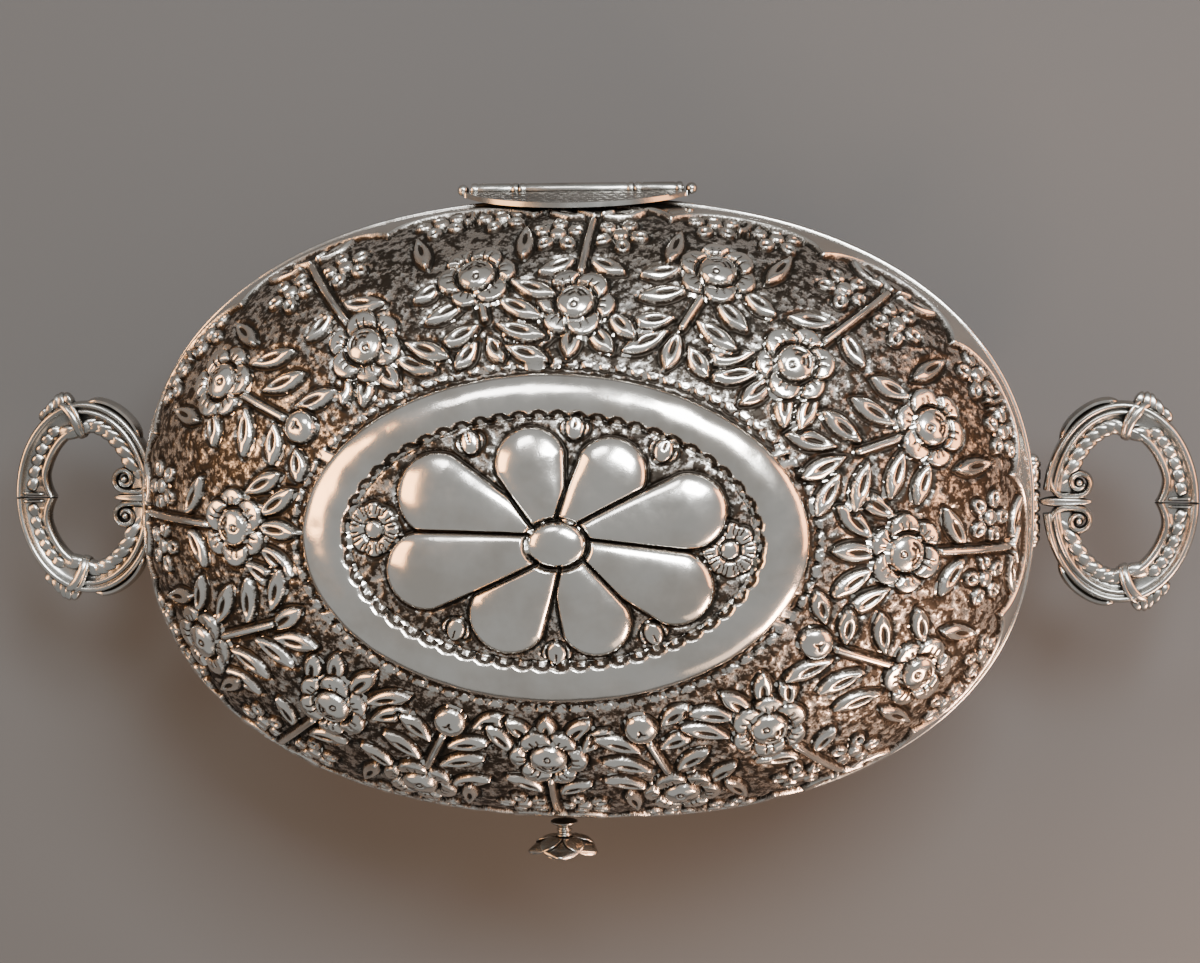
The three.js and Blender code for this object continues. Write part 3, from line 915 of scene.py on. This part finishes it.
def dome_arc(half_width, rise, start, end, rows):
    """Rows of (radius, height) points on a dome's section, from one latitude to another."""
    return [(half_width * math.cos(e), rise * math.sin(e)) for e in np.linspace(start, end, rows)]


def shell_profile(dome, from_latitude, to_latitude, outer_rows, inner_rows):
    """Closed section of the sheet: up its outside and back down its inside."""
    rise = dome.axes[2]
    inside_start = math.asin(rise * math.sin(from_latitude) / (rise - WALL))
    outside = dome_arc(HALF_WIDTH, dome.side * rise, from_latitude, to_latitude, outer_rows)
    inside = dome_arc(HALF_WIDTH - WALL, dome.side * (rise - WALL), to_latitude, inside_start, inner_rows)
    return outside + inside


def chase(obj, dome, decorate):
    """Presses chased work into a shell whose mesh is in millimetres about the mouth's centre."""
    mesh = obj.data
    points = np.empty(len(mesh.vertices) * 3)
    mesh.vertices.foreach_get("co", points)
    points = points.reshape(-1, 3)
    turned = points[:, :2] / dome.axes[:2]
    reach = np.maximum(np.linalg.norm(turned, axis=1), 1e-9)
    points[:, :2] *= np.where(reach > 1e-6, filled_out(*(turned / reach[:, None]).T), 1)[:, None]
    level = dome.level(points)
    on_sheet = points / level[:, None]
    normals = dome.normal(on_sheet)
    work = Chasing(on_sheet, normals)
    stipple = matting(on_sheet, 0.95)
    decorate(work)
    rough = 1 - smooth_step(work.height, work.GROUND + 0.02, work.GROUND + 0.22)
    work.height += 0.13 * stipple * rough
    work.recess += 0.24 * stipple * rough
    outside = level > 0.995
    points = np.where(outside[:, None], on_sheet, points)
    moved = points + normals * (work.height * np.where(outside, 1.0, 0.85))[:, None]
    moved = (moved + MOUTH) * MM
    mesh.vertices.foreach_set("co", moved.ravel())
    recess = mesh.attributes.new("recess", "FLOAT", "POINT")
    recess.data.foreach_set("value", np.where(outside, work.recess, 0.25).clip(0, 1))
    mesh.update()


def sheet_places(points, rise):
    """Latitude up from the mouth and angle round the oval of points on a sheet."""
    x, y, z = points.T
    latitudes = np.arcsin((np.abs(z) / rise).clip(0, 1))
    return latitudes, np.mod(np.arctan2(y / HALF_WIDTH, x / HALF_LENGTH), FULL_TURN)


def chase_lid(work):
    """The lid's plants, border and medallion, with a row of crescents round the cushion."""
    latitudes, angles = sheet_places(work.points, LID_RISE)
    steps = np.random.default_rng(11)
    lid_field.crescent_row(work, (CUSHION_OUTER[0] + 1.6, CUSHION_OUTER[1] + 1.6), 2.7, towards=-1)
    for degrees, kind, rose_up in PLANTS:
        lid_field.plant(work, degrees, kind, rose_up, steps)
    lid_field.border(work, latitudes, angles)
    chase_medallion(work, lid_dome, lid_field)


def keep_flat(work, low, high):
    """Leaves the sheet plain behind a fitting, inside a box about the mouth's centre."""
    margin = 1.2
    outside = np.maximum(low - margin - work.points, work.points - high - margin).max(axis=1)
    share = smooth_step(outside, -0.6, 0.6)
    work.height = work.height * share + work.GROUND * (1 - share)


def chase_bowl(work):
    """The bowl's plants and border, left plain round the foot and behind the brackets."""
    latitudes, angles = sheet_places(work.points, BOWL_ROUNDNESS)
    steps = np.random.default_rng(23)
    for degrees, kind, rose_up in PLANTS:
        bowl_field.plant(work, degrees, kind, rose_up, steps)
    bowl_field.border(work, latitudes, angles)
    floor_edge = (latitudes - math.acos(FLOOR_SHARE)) * BOWL_ROUNDNESS + 2.2
    close = np.flatnonzero(floor_edge > -2)
    work.raise_shape(close, -floor_edge[close], np.full(len(close), -work.GROUND), line=0.6, depth=0.3)
    for side in ("right", "left"):
        low, high = box_mm(f"{side}_bracket_plate")
        reach = np.array([8.0, 0.0, 0.0])
        keep_flat(work, low - MOUTH - reach, high - MOUTH + reach)


QUARTERS = ("back_right", "back_left", "front_left", "front_right")


def make_shells(chased):
    """Each sheet in four walls, and the lid's medallion over its crown."""
    start_lid = math.asin(SHEET_START / LID_RISE)
    start_bowl = math.asin(SHEET_START / BOWL_ROUNDNESS)
    lid_section = shell_profile(lid_dome, start_lid, math.acos(MEDALLION_SHARE), 175, 40)
    bowl_section = shell_profile(bowl_dome, start_bowl, math.acos(FLOOR_SHARE), 120, 34)
    cut_angle = math.radians(9.0)
    for part, section, steps, dome, decorate in (
            ("lid", lid_section, 44, lid_dome, chase_lid),
            ("bowl", bowl_section, 32, bowl_dome, chase_bowl)):
        for n, quarter in enumerate(QUARTERS):
            bm = spun(section, cut_angle + n * math.pi / 2, math.pi / 2, steps, cuts=7)
            bmesh.ops.scale(bm, vec=Vector((STRETCH, 1, 1)), verts=bm.verts)
            wall = new_object(bm, f"{part}_wall_{quarter}")
            chase(wall, dome, decorate)
            set_piece(wall, part, chased, (f"{part}_shell",))

    edge = math.acos(MEDALLION_SHARE)
    inside_edge = math.asin(LID_RISE * math.sin(edge) / (LID_RISE - WALL))
    outside = dome_arc(HALF_WIDTH, LID_RISE, edge, math.pi / 2, 128)
    inside = dome_arc(HALF_WIDTH - WALL, LID_RISE - WALL, inside_edge, math.pi / 2, 40)
    crown_section = [(0, LID_RISE)] + outside[-2::-1] + inside[:-1] + [(0, LID_RISE - WALL)]
    bm = spun(crown_section, 0, FULL_TURN, 88, cuts=7)
    bmesh.ops.scale(bm, vec=Vector((STRETCH, 1, 1)), verts=bm.verts)
    crown = new_object(bm, "lid_medallion")
    chase(crown, lid_dome, chase_lid)
    set_piece(crown, "lid", chased, ("lid_shell",))


# ---------------------------------------------------------------- plain rings, floor and hinge
def make_rings(plain):
    """The wire at each side of the mouth, the collar inside it, the foot and the bowl's floor."""
    for part, low in (("lid", SHEET_START - 2.7), ("bowl", -SHEET_START + 0.3)):
        profile = rounded([(-1.3, low), (0.1, low), (0.3, low + 0.3), (0.3, low + 0.9), (0.12, low + 1.2),
                           (0.3, low + 1.5), (0.3, low + 2.1), (0.1, low + 2.4), (-1.3, low + 2.4)])
        bm = oval_band(profile, HALF_LENGTH, HALF_WIDTH)
        to_frame(bm, MOUTH)
        set_piece(new_object(bm, f"{part}_rim_wire"), part, plain, (f"{part}_rim_band",))

    low, high = box_mm("seat_bezel")
    half = (high - low) / 2
    bottom, top = low[2] - MOUTH[2], high[2] - MOUTH[2]
    profile = rounded([(-0.8, bottom), (0, bottom), (0, top - 1.2), (-0.3, top), (-0.8, top)])
    bm = oval_band(profile, half[0], half[1])
    to_frame(bm, MOUTH)
    set_piece(new_object(bm, "seat_collar"), "bowl", plain, ("seat_bezel",))

    low, high = box_mm("foot_ring")
    half = (high - low) / 2
    tall = high[2] - low[2]
    profile = rounded([(-2.6, 0), (0, 0), (0, 0.9), (-0.6, 1.3), (-0.9, 1.9), (-0.3, 2.3), (-0.3, tall),
                       (-2.3, tall), (-2.3, 1.2)])
    bottom = min(height for _, height in profile)
    profile = [(side, (height - bottom) * tall / (tall - bottom)) for side, height in profile]
    bm = oval_band(profile, half[0], half[1])
    to_frame(bm, (0, MOUTH[1], 0))
    set_piece(new_object(bm, "foot"), "bowl", plain, ("foot_ring",))

    radius = HALF_WIDTH * FLOOR_SHARE
    bm = spun([(0, -BOWL_DEPTH), (radius * 0.5, -BOWL_DEPTH), (radius, -BOWL_DEPTH),
               (radius - 0.5, WALL - BOWL_DEPTH), (radius * 0.5, WALL - BOWL_DEPTH), (0, WALL - BOWL_DEPTH)],
              0, FULL_TURN, 144)
    for vert in bm.verts:
        reach = max(vert.co.xy.length, 1e-9)
        full = float(filled_out(vert.co.x / reach, vert.co.y / reach)) if reach > 1e-6 else 1
        vert.co.x *= full * STRETCH
        vert.co.y *= full
    to_frame(bm, MOUTH)
    set_piece(new_object(bm, "bowl_floor"), "bowl", plain, ("bowl_shell",))


def chased_leaf(name, body, direction, material):
    """A hinge leaf: a thin plate with a bowed free edge, chased with rows of scales inside a bright lip."""
    low, high = box_mm(name)
    half_length = (high[0] - low[0]) / 2
    thickness = 0.8
    root = 1.5
    scale_width, scale_height = 1.9, 1.7
    tall = high[2] - low[2]
    lean = math.atan2(high[1] - low[1] - thickness, tall)
    bm = bmesh.new()
    bmesh.ops.create_grid(bm, x_segments=150, y_segments=36, size=1)
    bmesh.ops.solidify(bm, geom=bm.faces[:], thickness=0.1)
    curve = np.linspace(0, 1, 200)
    curve_x = (1 - curve) ** 3 + 1.86 * (1 - curve) ** 2 * curve
    curve_x = curve_x - curve_x[::-1]
    curve_y = 4 * curve * (1 - curve)
    for vert in bm.verts:
        x = vert.co.x
        front = vert.co.z > -0.05
        top = max(float(np.interp(-x, -curve_x, curve_y)), 0.04) * tall
        up = (vert.co.y + 1) / 2 * top
        along = x * half_length
        inset = min(top - up, (half_length - abs(along)) * 0.6, up)
        lip = 0.16 * math.exp(-((inset - 0.35) / 0.35) ** 2)
        row = math.floor(up / scale_height)
        cell_x = (along / scale_width + 0.5 * (row % 2)) % 1 - 0.5
        cell_y = up / scale_height - row
        scale_edge = math.hypot(cell_x * scale_width, cell_y * scale_height) - scale_width / 2
        scales = 0.22 * (0.5 - abs(cell_x)) - 0.30 * math.exp(-(scale_edge / 0.16) ** 2)
        relief = lip + (scales if inset > 0.8 else 0)
        depth = thickness + min(relief, 0.1) if front else 0
        y = -up * math.sin(lean) + depth * math.cos(lean) - thickness
        z = root + up * math.cos(lean)
        vert.co = Vector((along, y, direction * z))
    if direction < 0:
        bmesh.ops.reverse_faces(bm, faces=bm.faces)
    bmesh.ops.recalc_face_normals(bm, faces=bm.faces)
    keep_corners_sharp(bm)
    to_frame(bm, (0, high[1], MOUTH[2]))
    return set_piece(new_object(bm, name.replace("hinge_leaf", "hinge_plate")), body, material,
                     (name,))


def barrel(start, end, radius):
    """A knuckle along X, with a thin bead at each of its ends."""
    length = end - start
    profile = [(0, 0), (radius * 0.9, 0), (radius, 0.25), (radius, 0.8), (radius * 0.86, 1.0),
               (radius * 0.86, 1.2), (radius * 0.96, 1.5)]
    profile += [(r, length - h) for r, h in profile[::-1]]
    bm = spun(profile, 0, FULL_TURN, 32)
    bmesh.ops.rotate(bm, verts=bm.verts, matrix=Matrix.Rotation(math.pi / 2, 3, "Y"))
    bmesh.ops.translate(bm, verts=bm.verts, vec=Vector((start, 0, 0)))
    return bm


def make_hinge(cast):
    """The two leaves at the back, the three barrels between them, and the beads on the pin's ends."""
    chased_leaf("lid_hinge_leaf", "lid", 1, cast)
    chased_leaf("bowl_hinge_leaf", "bowl", -1, cast)
    for name, body in (("lid_knuckle", "lid"), ("bowl_knuckle_left", "bowl"), ("bowl_knuckle_right", "bowl")):
        low, high = box_mm(name)
        middle = (low + high) / 2
        bm = barrel(low[0], high[0], (high[2] - low[2]) / 2)
        to_frame(bm, (0, middle[1], middle[2]))
        barrel_piece = new_object(bm, name.replace("knuckle", "hinge_barrel"))
        set_piece(barrel_piece, body, cast, (name,))
    for side in ("left", "right"):
        low, high = box_mm(f"hinge_pin_bead_{side}")
        middle = (low + high) / 2
        bm = lump(*(high - low)[:2], (high - low)[2] / 2, middle, 0, count=20)
        to_frame(bm, (0, 0, 0))
        bead = new_object(bm, f"hinge_bead_{side}")
        set_piece(bead, "bowl", cast, (f"hinge_pin_bead_{side}",))


# ---------------------------------------------------------------- knob
def make_knob(cast):
    """A five-petalled flower on a short baluster stem, facing forwards."""
    low, high = box_mm("knob_flower")
    middle = (low + high) / 2
    stem_low, stem_high = box_mm("knob_collar", "knob_stem")
    radius = (high[0] - low[0]) / 2
    depth = high[1] - low[1]
    parts = []
    for n in range(5):
        bm = bmesh.new()
        bmesh.ops.create_grid(bm, x_segments=22, y_segments=20, size=1)
        bmesh.ops.solidify(bm, geom=bm.faces[:], thickness=0.1)
        for vert in bm.verts:
            front = vert.co.z > -0.05
            x, y = vert.co.x, vert.co.y
            share = (x + 1) / 2
            half = radius * 0.60 * math.sin(math.pi * (0.12 + 0.83 * share)) ** 0.75
            out = radius * (0.10 + 0.87 * share) * (1 - 0.10 * abs(y) ** 3)
            across = half * y
            cup = 0.62 * depth * share ** 1.6 + 0.5 * abs(y) ** 2 * share
            vein = 0.14 * math.exp(-(y / 0.09) ** 2) + 0.08 * math.exp(-((abs(y) - 0.5) / 0.1) ** 2)
            thick = 0.95 * (1 - 0.75 * abs(y) ** 4) * (1 - 0.7 * share ** 8)
            vert.co = Vector((out, across, cup + (thick - vein if front else 0)))
        bmesh.ops.recalc_face_normals(bm, faces=bm.faces)
        turn = Matrix.Rotation(math.pi / 2 + n * FULL_TURN / 5, 3, "Z")
        bmesh.ops.rotate(bm, verts=bm.verts, matrix=turn)
        parts.append(bm)
    parts.append(lump(4.0, 4.0, 1.0, (0, 0, 0.9), 0, count=20))
    for n in range(9):
        angle = n * FULL_TURN / 8
        spread = 0.95 if n < 8 else 0
        place = (spread * math.cos(angle), spread * math.sin(angle), 1.7 + 0.25 * (n == 8))
        parts.append(lump(0.85, 0.85, 0.5, place, 0))
    run = stem_high[1] - stem_low[1]
    profile = rounded([(0, -run), (2.4, -run), (2.4, 0.5 - run), (1.5, 0.8 - run), (1.0, 1.3 - run),
                       (1.5, 1.8 - run), (1.0, 2.1 - run), (1.7, 0), (0, 0.3)], 2)
    profile = [(0, -run)] + [point for point in profile if point[0] > 0.15] + [(0, 0.3)]
    flower = gathered(parts)
    stem = spun(profile, 0, FULL_TURN, 36)
    bmesh.ops.translate(stem, verts=stem.verts, vec=Vector((0, 0, -0.1)))
    whole = gathered([flower, stem])
    bmesh.ops.rotate(whole, verts=whole.verts, matrix=Matrix.Rotation(math.pi / 2, 3, "X"))
    to_frame(whole, (middle[0], high[1], middle[2]))
    replaced = ("knob_collar", "knob_stem", "knob_flower", "knob_stamen")
    set_piece(new_object(whole, "flower_knob"), "lid", cast, replaced)


# ---------------------------------------------------------------- handles
def ring_point(turn, inset):
    """Place on the ring's oval, a distance inside its outer edge. turn 0 is its far side."""
    outward = np.array([math.cos(turn) / RING_REACH, math.sin(turn) / RING_SPAN, 0])
    outward /= np.linalg.norm(outward)
    return np.array([RING_REACH * math.cos(turn), RING_SPAN * math.sin(turn), 0]) - outward * inset


def ring_heading(turn):
    """Direction in which the ring runs at a turn, as an angle from +X."""
    ahead = ring_point(turn + 0.01, 3) - ring_point(turn, 3)
    return math.atan2(ahead[1], ahead[0])


def ring_band(profile, start, end, steps=40, reshape=None):
    """A length of the ring's band. The profile is of (distance inside the outer edge, height) points."""
    turns = np.linspace(start, end, steps + 1)
    origins = [ring_point(turn, 0) for turn in turns]
    inward = [ring_point(turn, 1) - ring_point(turn, 0) for turn in turns]
    return swept(profile, origins, inward, [UP] * (steps + 1), reshape=reshape)


def mirrored_profile(points):
    """Closes a profile given by its upper half with the same half below."""
    return points + [(side, -lift) for side, lift in points[::-1]]


def half_ring():
    """One half of a cast ring, from the middle of its far side to the volute beside its eye."""
    parts = []
    scroll = mirrored_profile([(0, 1.0), (0.35, 1.75), (0.95, 1.95), (1.35, 1.15), (1.75, 1.7), (2.3, 1.75),
                               (2.75, 0.8), (4.9, 0.75), (5.4, 0.25)])
    parts.append(ring_band(rounded(scroll, 1), 1.42, 3.02, 48))
    bow = mirrored_profile([(0, 1.1), (0.4, 1.95), (1.15, 1.95), (1.7, 0.8), (4.3, 0.75), (4.7, 1.5),
                            (5.5, 1.5), (6.0, 0.6)])

    def cusp(share, side, lift):
        near = max(0.0, 1 - share / 0.24)
        return side + (1.7 * near ** 1.6 if side > 4.0 else 0), lift

    parts.append(ring_band(rounded(bow, 1), 0.012, 1.40, 48, cusp))

    for n in range(7):
        turn = 1.66 + n * 0.175
        inset = 4.35 - 0.35 * (n / 6)
        parts.append(lump(4.9, 3.2, 1.9, ring_point(turn, inset), ring_heading(turn) - 0.50, 0.35, 0.35))
    for n in range(6):
        turn = 0.16 + n * 0.155
        parts.append(lump(3.6, 2.9, 1.85, ring_point(turn, 3.15), ring_heading(turn) + 0.35, 0.3, 0.35))
    parts.append(rod([ring_point(0.045, inset) for inset in np.linspace(0.9, 5.9, 8)], (0, 0, 1),
                     tapered(8, 0.42), tapered(8, 1.6)))

    shoulder = [ring_point(turn, -0.55 + 1.0 * abs(share) ** 3)
                for turn, share in zip(np.linspace(1.60, 2.50, 26), np.linspace(-1, 1, 26))]
    parts.append(rod(shoulder, UP, tapered(26, 0.72), tapered(26, 1.6)))

    centre = np.array([ring_point(math.pi, 0)[0] + 6.4, 3.45, 0])
    curl = [ring_point(turn, 0.9) for turn in np.linspace(2.55, 2.98, 10)]
    curl += [np.array([u, 1.08, 0]) for u in np.linspace(curl[-1][0] + 1.6, centre[0] - 1.0, 7)]
    for n, angle in enumerate(np.linspace(-math.pi / 2, 1.95 * math.pi, 30)):
        radius = 2.37 - 1.45 * (n / 29) ** 0.85
        curl.append(centre + radius * np.array([math.cos(angle), math.sin(angle), 0]))
    curl = np.array(curl)
    for _ in range(2):
        curl[1:-1] = (curl[:-2] + 2 * curl[1:-1] + curl[2:]) / 4
    falling = np.linspace(1.95, 1.35, len(curl))
    parts.append(rod(curl, UP, tapered(len(curl), 0.66, 0.3, 0.08), falling, 12))
    parts.append(lump(1.7, 1.7, 1.6, centre, 0))
    parts.append(lump(5.0, 2.6, 1.2, centre + np.array([-2.6, 0.9, 0]), 0.6, 0.3, 0.25))

    for shift, wide, high in ((0.0, 0.80, 0.55), (0.10, 0.42, 0.40)):
        strap = []
        for phase in np.linspace(0, FULL_TURN, 37):
            turn = 1.32 + shift - 0.10 * math.cos(phase) + 0.07 * abs(math.sin(phase))
            place = ring_point(turn, 3.0 - 3.55 * math.cos(phase))
            place[2] = 2.0 * math.sin(phase)
            strap.append(place)
        strap = np.array(strap)
        heading = ring_heading(1.32)
        along = np.array([math.cos(heading), math.sin(heading), 0])
        parts.append(rod(strap, along, high, wide, 10, closed=True))
    for n, turn in enumerate((1.00, 1.10, 1.19, 1.27, 1.36)):
        lean = (0.25, 0.65, 1.0, 1.3, 1.75)[n]
        outward = ring_heading(turn) - lean
        size = (3.2, 3.9, 4.2, 3.9, 3.2)[n]
        parts.append(lump(size, 1.9, 1.55 + 0.25 * (n % 2), ring_point(turn, -0.55), outward, 0.1, 0.35, 12))
    parts.append(lump(6.2, 3.6, 2.05, ring_point(1.20, 5.1), ring_heading(1.2) + 0.35, 0.3, 0.3))
    parts.append(lump(5.6, 3.3, 2.05, ring_point(1.51, 5.1), ring_heading(1.5) - 0.3 + math.pi, 0.3, 0.3))
    return gathered(parts)


def make_handle(side, cast):
    """One cast ring: two halves, the eye it hangs by, and a leaf over the seam between its volutes."""
    far, near = half_ring(), half_ring()
    bmesh.ops.scale(near, vec=Vector((1, -1, 1)), verts=near.verts)
    bmesh.ops.reverse_faces(near, faces=near.faces)
    eye_u = PIVOT[0] - RING_CENTRE[0]
    profile = [(0, -2.0), (1.1, -2.0), (1.5, -1.6), (1.5, -0.9), (1.25, -0.7)]
    profile += [(radius, -height) for radius, height in profile[::-1]]
    eye = spun(profile, 0, FULL_TURN, 28)
    bmesh.ops.rotate(eye, verts=eye.verts, matrix=Matrix.Rotation(math.pi / 2, 3, "X"))
    bmesh.ops.translate(eye, verts=eye.verts, vec=Vector((eye_u, 0, 0)))
    leaf = lump(9.4, 2.4, 1.9, (eye_u + 5.9, 0, 0), 0, 0.35, 0.3, 20)
    whole = gathered([far, near, eye, leaf])
    place_end(whole, side)
    replaced = [f"{side}_handle_lug"]
    replaced += [f"{side}_{part}_{half}" for part in ("scroll", "wrap", "bow") for half in ("far", "near")]
    set_piece(new_object(whole, f"{side}_ring"), f"{side}_handle", cast, replaced)


def place_end(bm, side):
    """Moves work made about the right ring's centre to its own end of the bowl."""
    reach = RING_CENTRE[0]
    if side == "left":
        bmesh.ops.rotate(bm, verts=bm.verts, matrix=Matrix.Rotation(math.pi, 3, "Z"))
        reach = -reach
    to_frame(bm, (reach, MOUTH[1], PIVOT[2]))


def make_bracket(side, cast):
    """The plate on the bowl's end, with loops and beads round it, and the two eyes that hold the ring."""
    low, high = box_mm("right_bracket_plate")
    half_span = (high[1] - low[1]) / 2
    middle = (low + high) / 2
    latitude = math.asin((MOUTH[2] - middle[2]) / BOWL_ROUNDNESS)
    normal = bowl_dome.normal(bowl_dome.point(0, latitude))
    half_height = 4.5
    thickness = 1.0
    loops = 14
    wave = [math.cos(n * FULL_TURN / 8) for n in range(8)] * loops
    outline = [(x * half_span * 0.94 * (1 + 0.045 * swell), y * half_height * 0.90 * (1 + 0.05 * swell))
               for (x, y), swell in zip(circle_profile(8 * loops), wave)]
    faces = [(0, 0, -thickness / 2), (0, 0, thickness / 2 - 0.1)]
    plate = swept(outline, faces, [(1, 0, 0)] * 2, [(0, 1, 0)] * 2)
    parts = [plate]
    face = thickness / 2
    for n in range(loops):
        angle = n * FULL_TURN / loops
        place = (half_span * 0.90 * math.cos(angle), half_height * 0.84 * math.sin(angle), face - 0.15)
        parts.append(lump(1.5, 1.5, 0.5, place, 0, count=12))
    for x, y in ((4.4, 1.5), (-4.4, 1.5), (4.4, -1.5), (-4.4, -1.5)):
        turns = np.linspace(0, FULL_TURN, 19)
        loop = [(x + 1.35 * math.cos(turn), y + math.sin(turn), face) for turn in turns]
        parts.append(rod(loop, UP, 0.34, 0.34, 8, closed=True))
        parts.append(lump(0.9, 0.9, 0.4, (x, y, face), 0, count=12))
    for sign in (-1, 1):
        parts.append(lump(4.4, 2.0, 0.42, (0, sign * 1.9, face - 0.05), sign * math.pi / 2, 0.4, 0.35))
    whole = gathered(parts)
    upward = np.array([-normal[2], 0, normal[0]])
    basis = Matrix(((0, upward[0], normal[0]), (1, 0, 0), (0, upward[2], normal[2])))
    bmesh.ops.rotate(whole, verts=whole.verts, matrix=basis)
    if basis.determinant() < 0:
        bmesh.ops.reverse_faces(whole, faces=whole.faces)
    seat = (middle[0] - RING_CENTRE[0], 0, middle[2] - PIVOT[2])
    bmesh.ops.translate(whole, verts=whole.verts, vec=Vector(seat))

    eyes = [whole]
    for name in ("right_bracket_eye_near", "right_bracket_eye_far"):
        low, high = box_mm(name)
        start, end = low[1] - MOUTH[1], high[1] - MOUTH[1]
        length = end - start
        radius = (high[2] - low[2]) / 2
        neck = 0.8 * radius
        profile = [(0, 0), (radius * 0.85, 0), (radius, 0.3), (radius, 1.0), (neck, 1.25), (neck, 1.5),
                   (radius, 1.8)]
        profile += [(reach, length - height) for reach, height in profile[::-1]]
        eye = spun(profile, 0, FULL_TURN, 28)
        bmesh.ops.rotate(eye, verts=eye.verts, matrix=Matrix.Rotation(-math.pi / 2, 3, "X"))
        bmesh.ops.translate(eye, verts=eye.verts, vec=Vector((PIVOT[0] - RING_CENTRE[0], start, 0)))
        eyes.append(eye)
        outer = start if abs(start) > abs(end) else end
        eyes.append(lump(2.4, 2.4, 1.2, (PIVOT[0] - RING_CENTRE[0], outer, 0), 0, count=18))
    whole = gathered(eyes)
    place_end(whole, side)
    replaced = (f"{side}_bracket_plate", f"{side}_bracket_eye_near", f"{side}_bracket_eye_far")
    set_piece(new_object(whole, f"{side}_bracket"), "bowl", cast, replaced)


make_camera()
make_lights()
make_floor()
chased = silver("chased_silver", (0.86, 0.81, 0.74), (0.66, 0.59, 0.51), (0.020, 0.015, 0.010), 0.16)
# Plain and cast silver darken by ambient occlusion: oxide in hollows, plus painted shade where pieces meet
# and at the floor.
plain = silver("plain_silver", (0.84, 0.81, 0.76), (0.66, 0.61, 0.54), (0.05, 0.04, 0.03), 0.17, "enclosed")
cast = silver("cast_silver", (0.56, 0.54, 0.50), (0.30, 0.28, 0.25), (0.018, 0.016, 0.013), 0.24, "enclosed")
make_shells(chased)
make_rings(plain)
make_hinge(cast)
make_knob(cast)
for end in ("right", "left"):
    make_handle(end, cast)
    make_bracket(end, cast)

for name in ("hinge_pin", "right_handle_pin", "left_handle_pin"):
    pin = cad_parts[name]
    pin.data.materials.clear()
    pin.data.materials.append(plain)
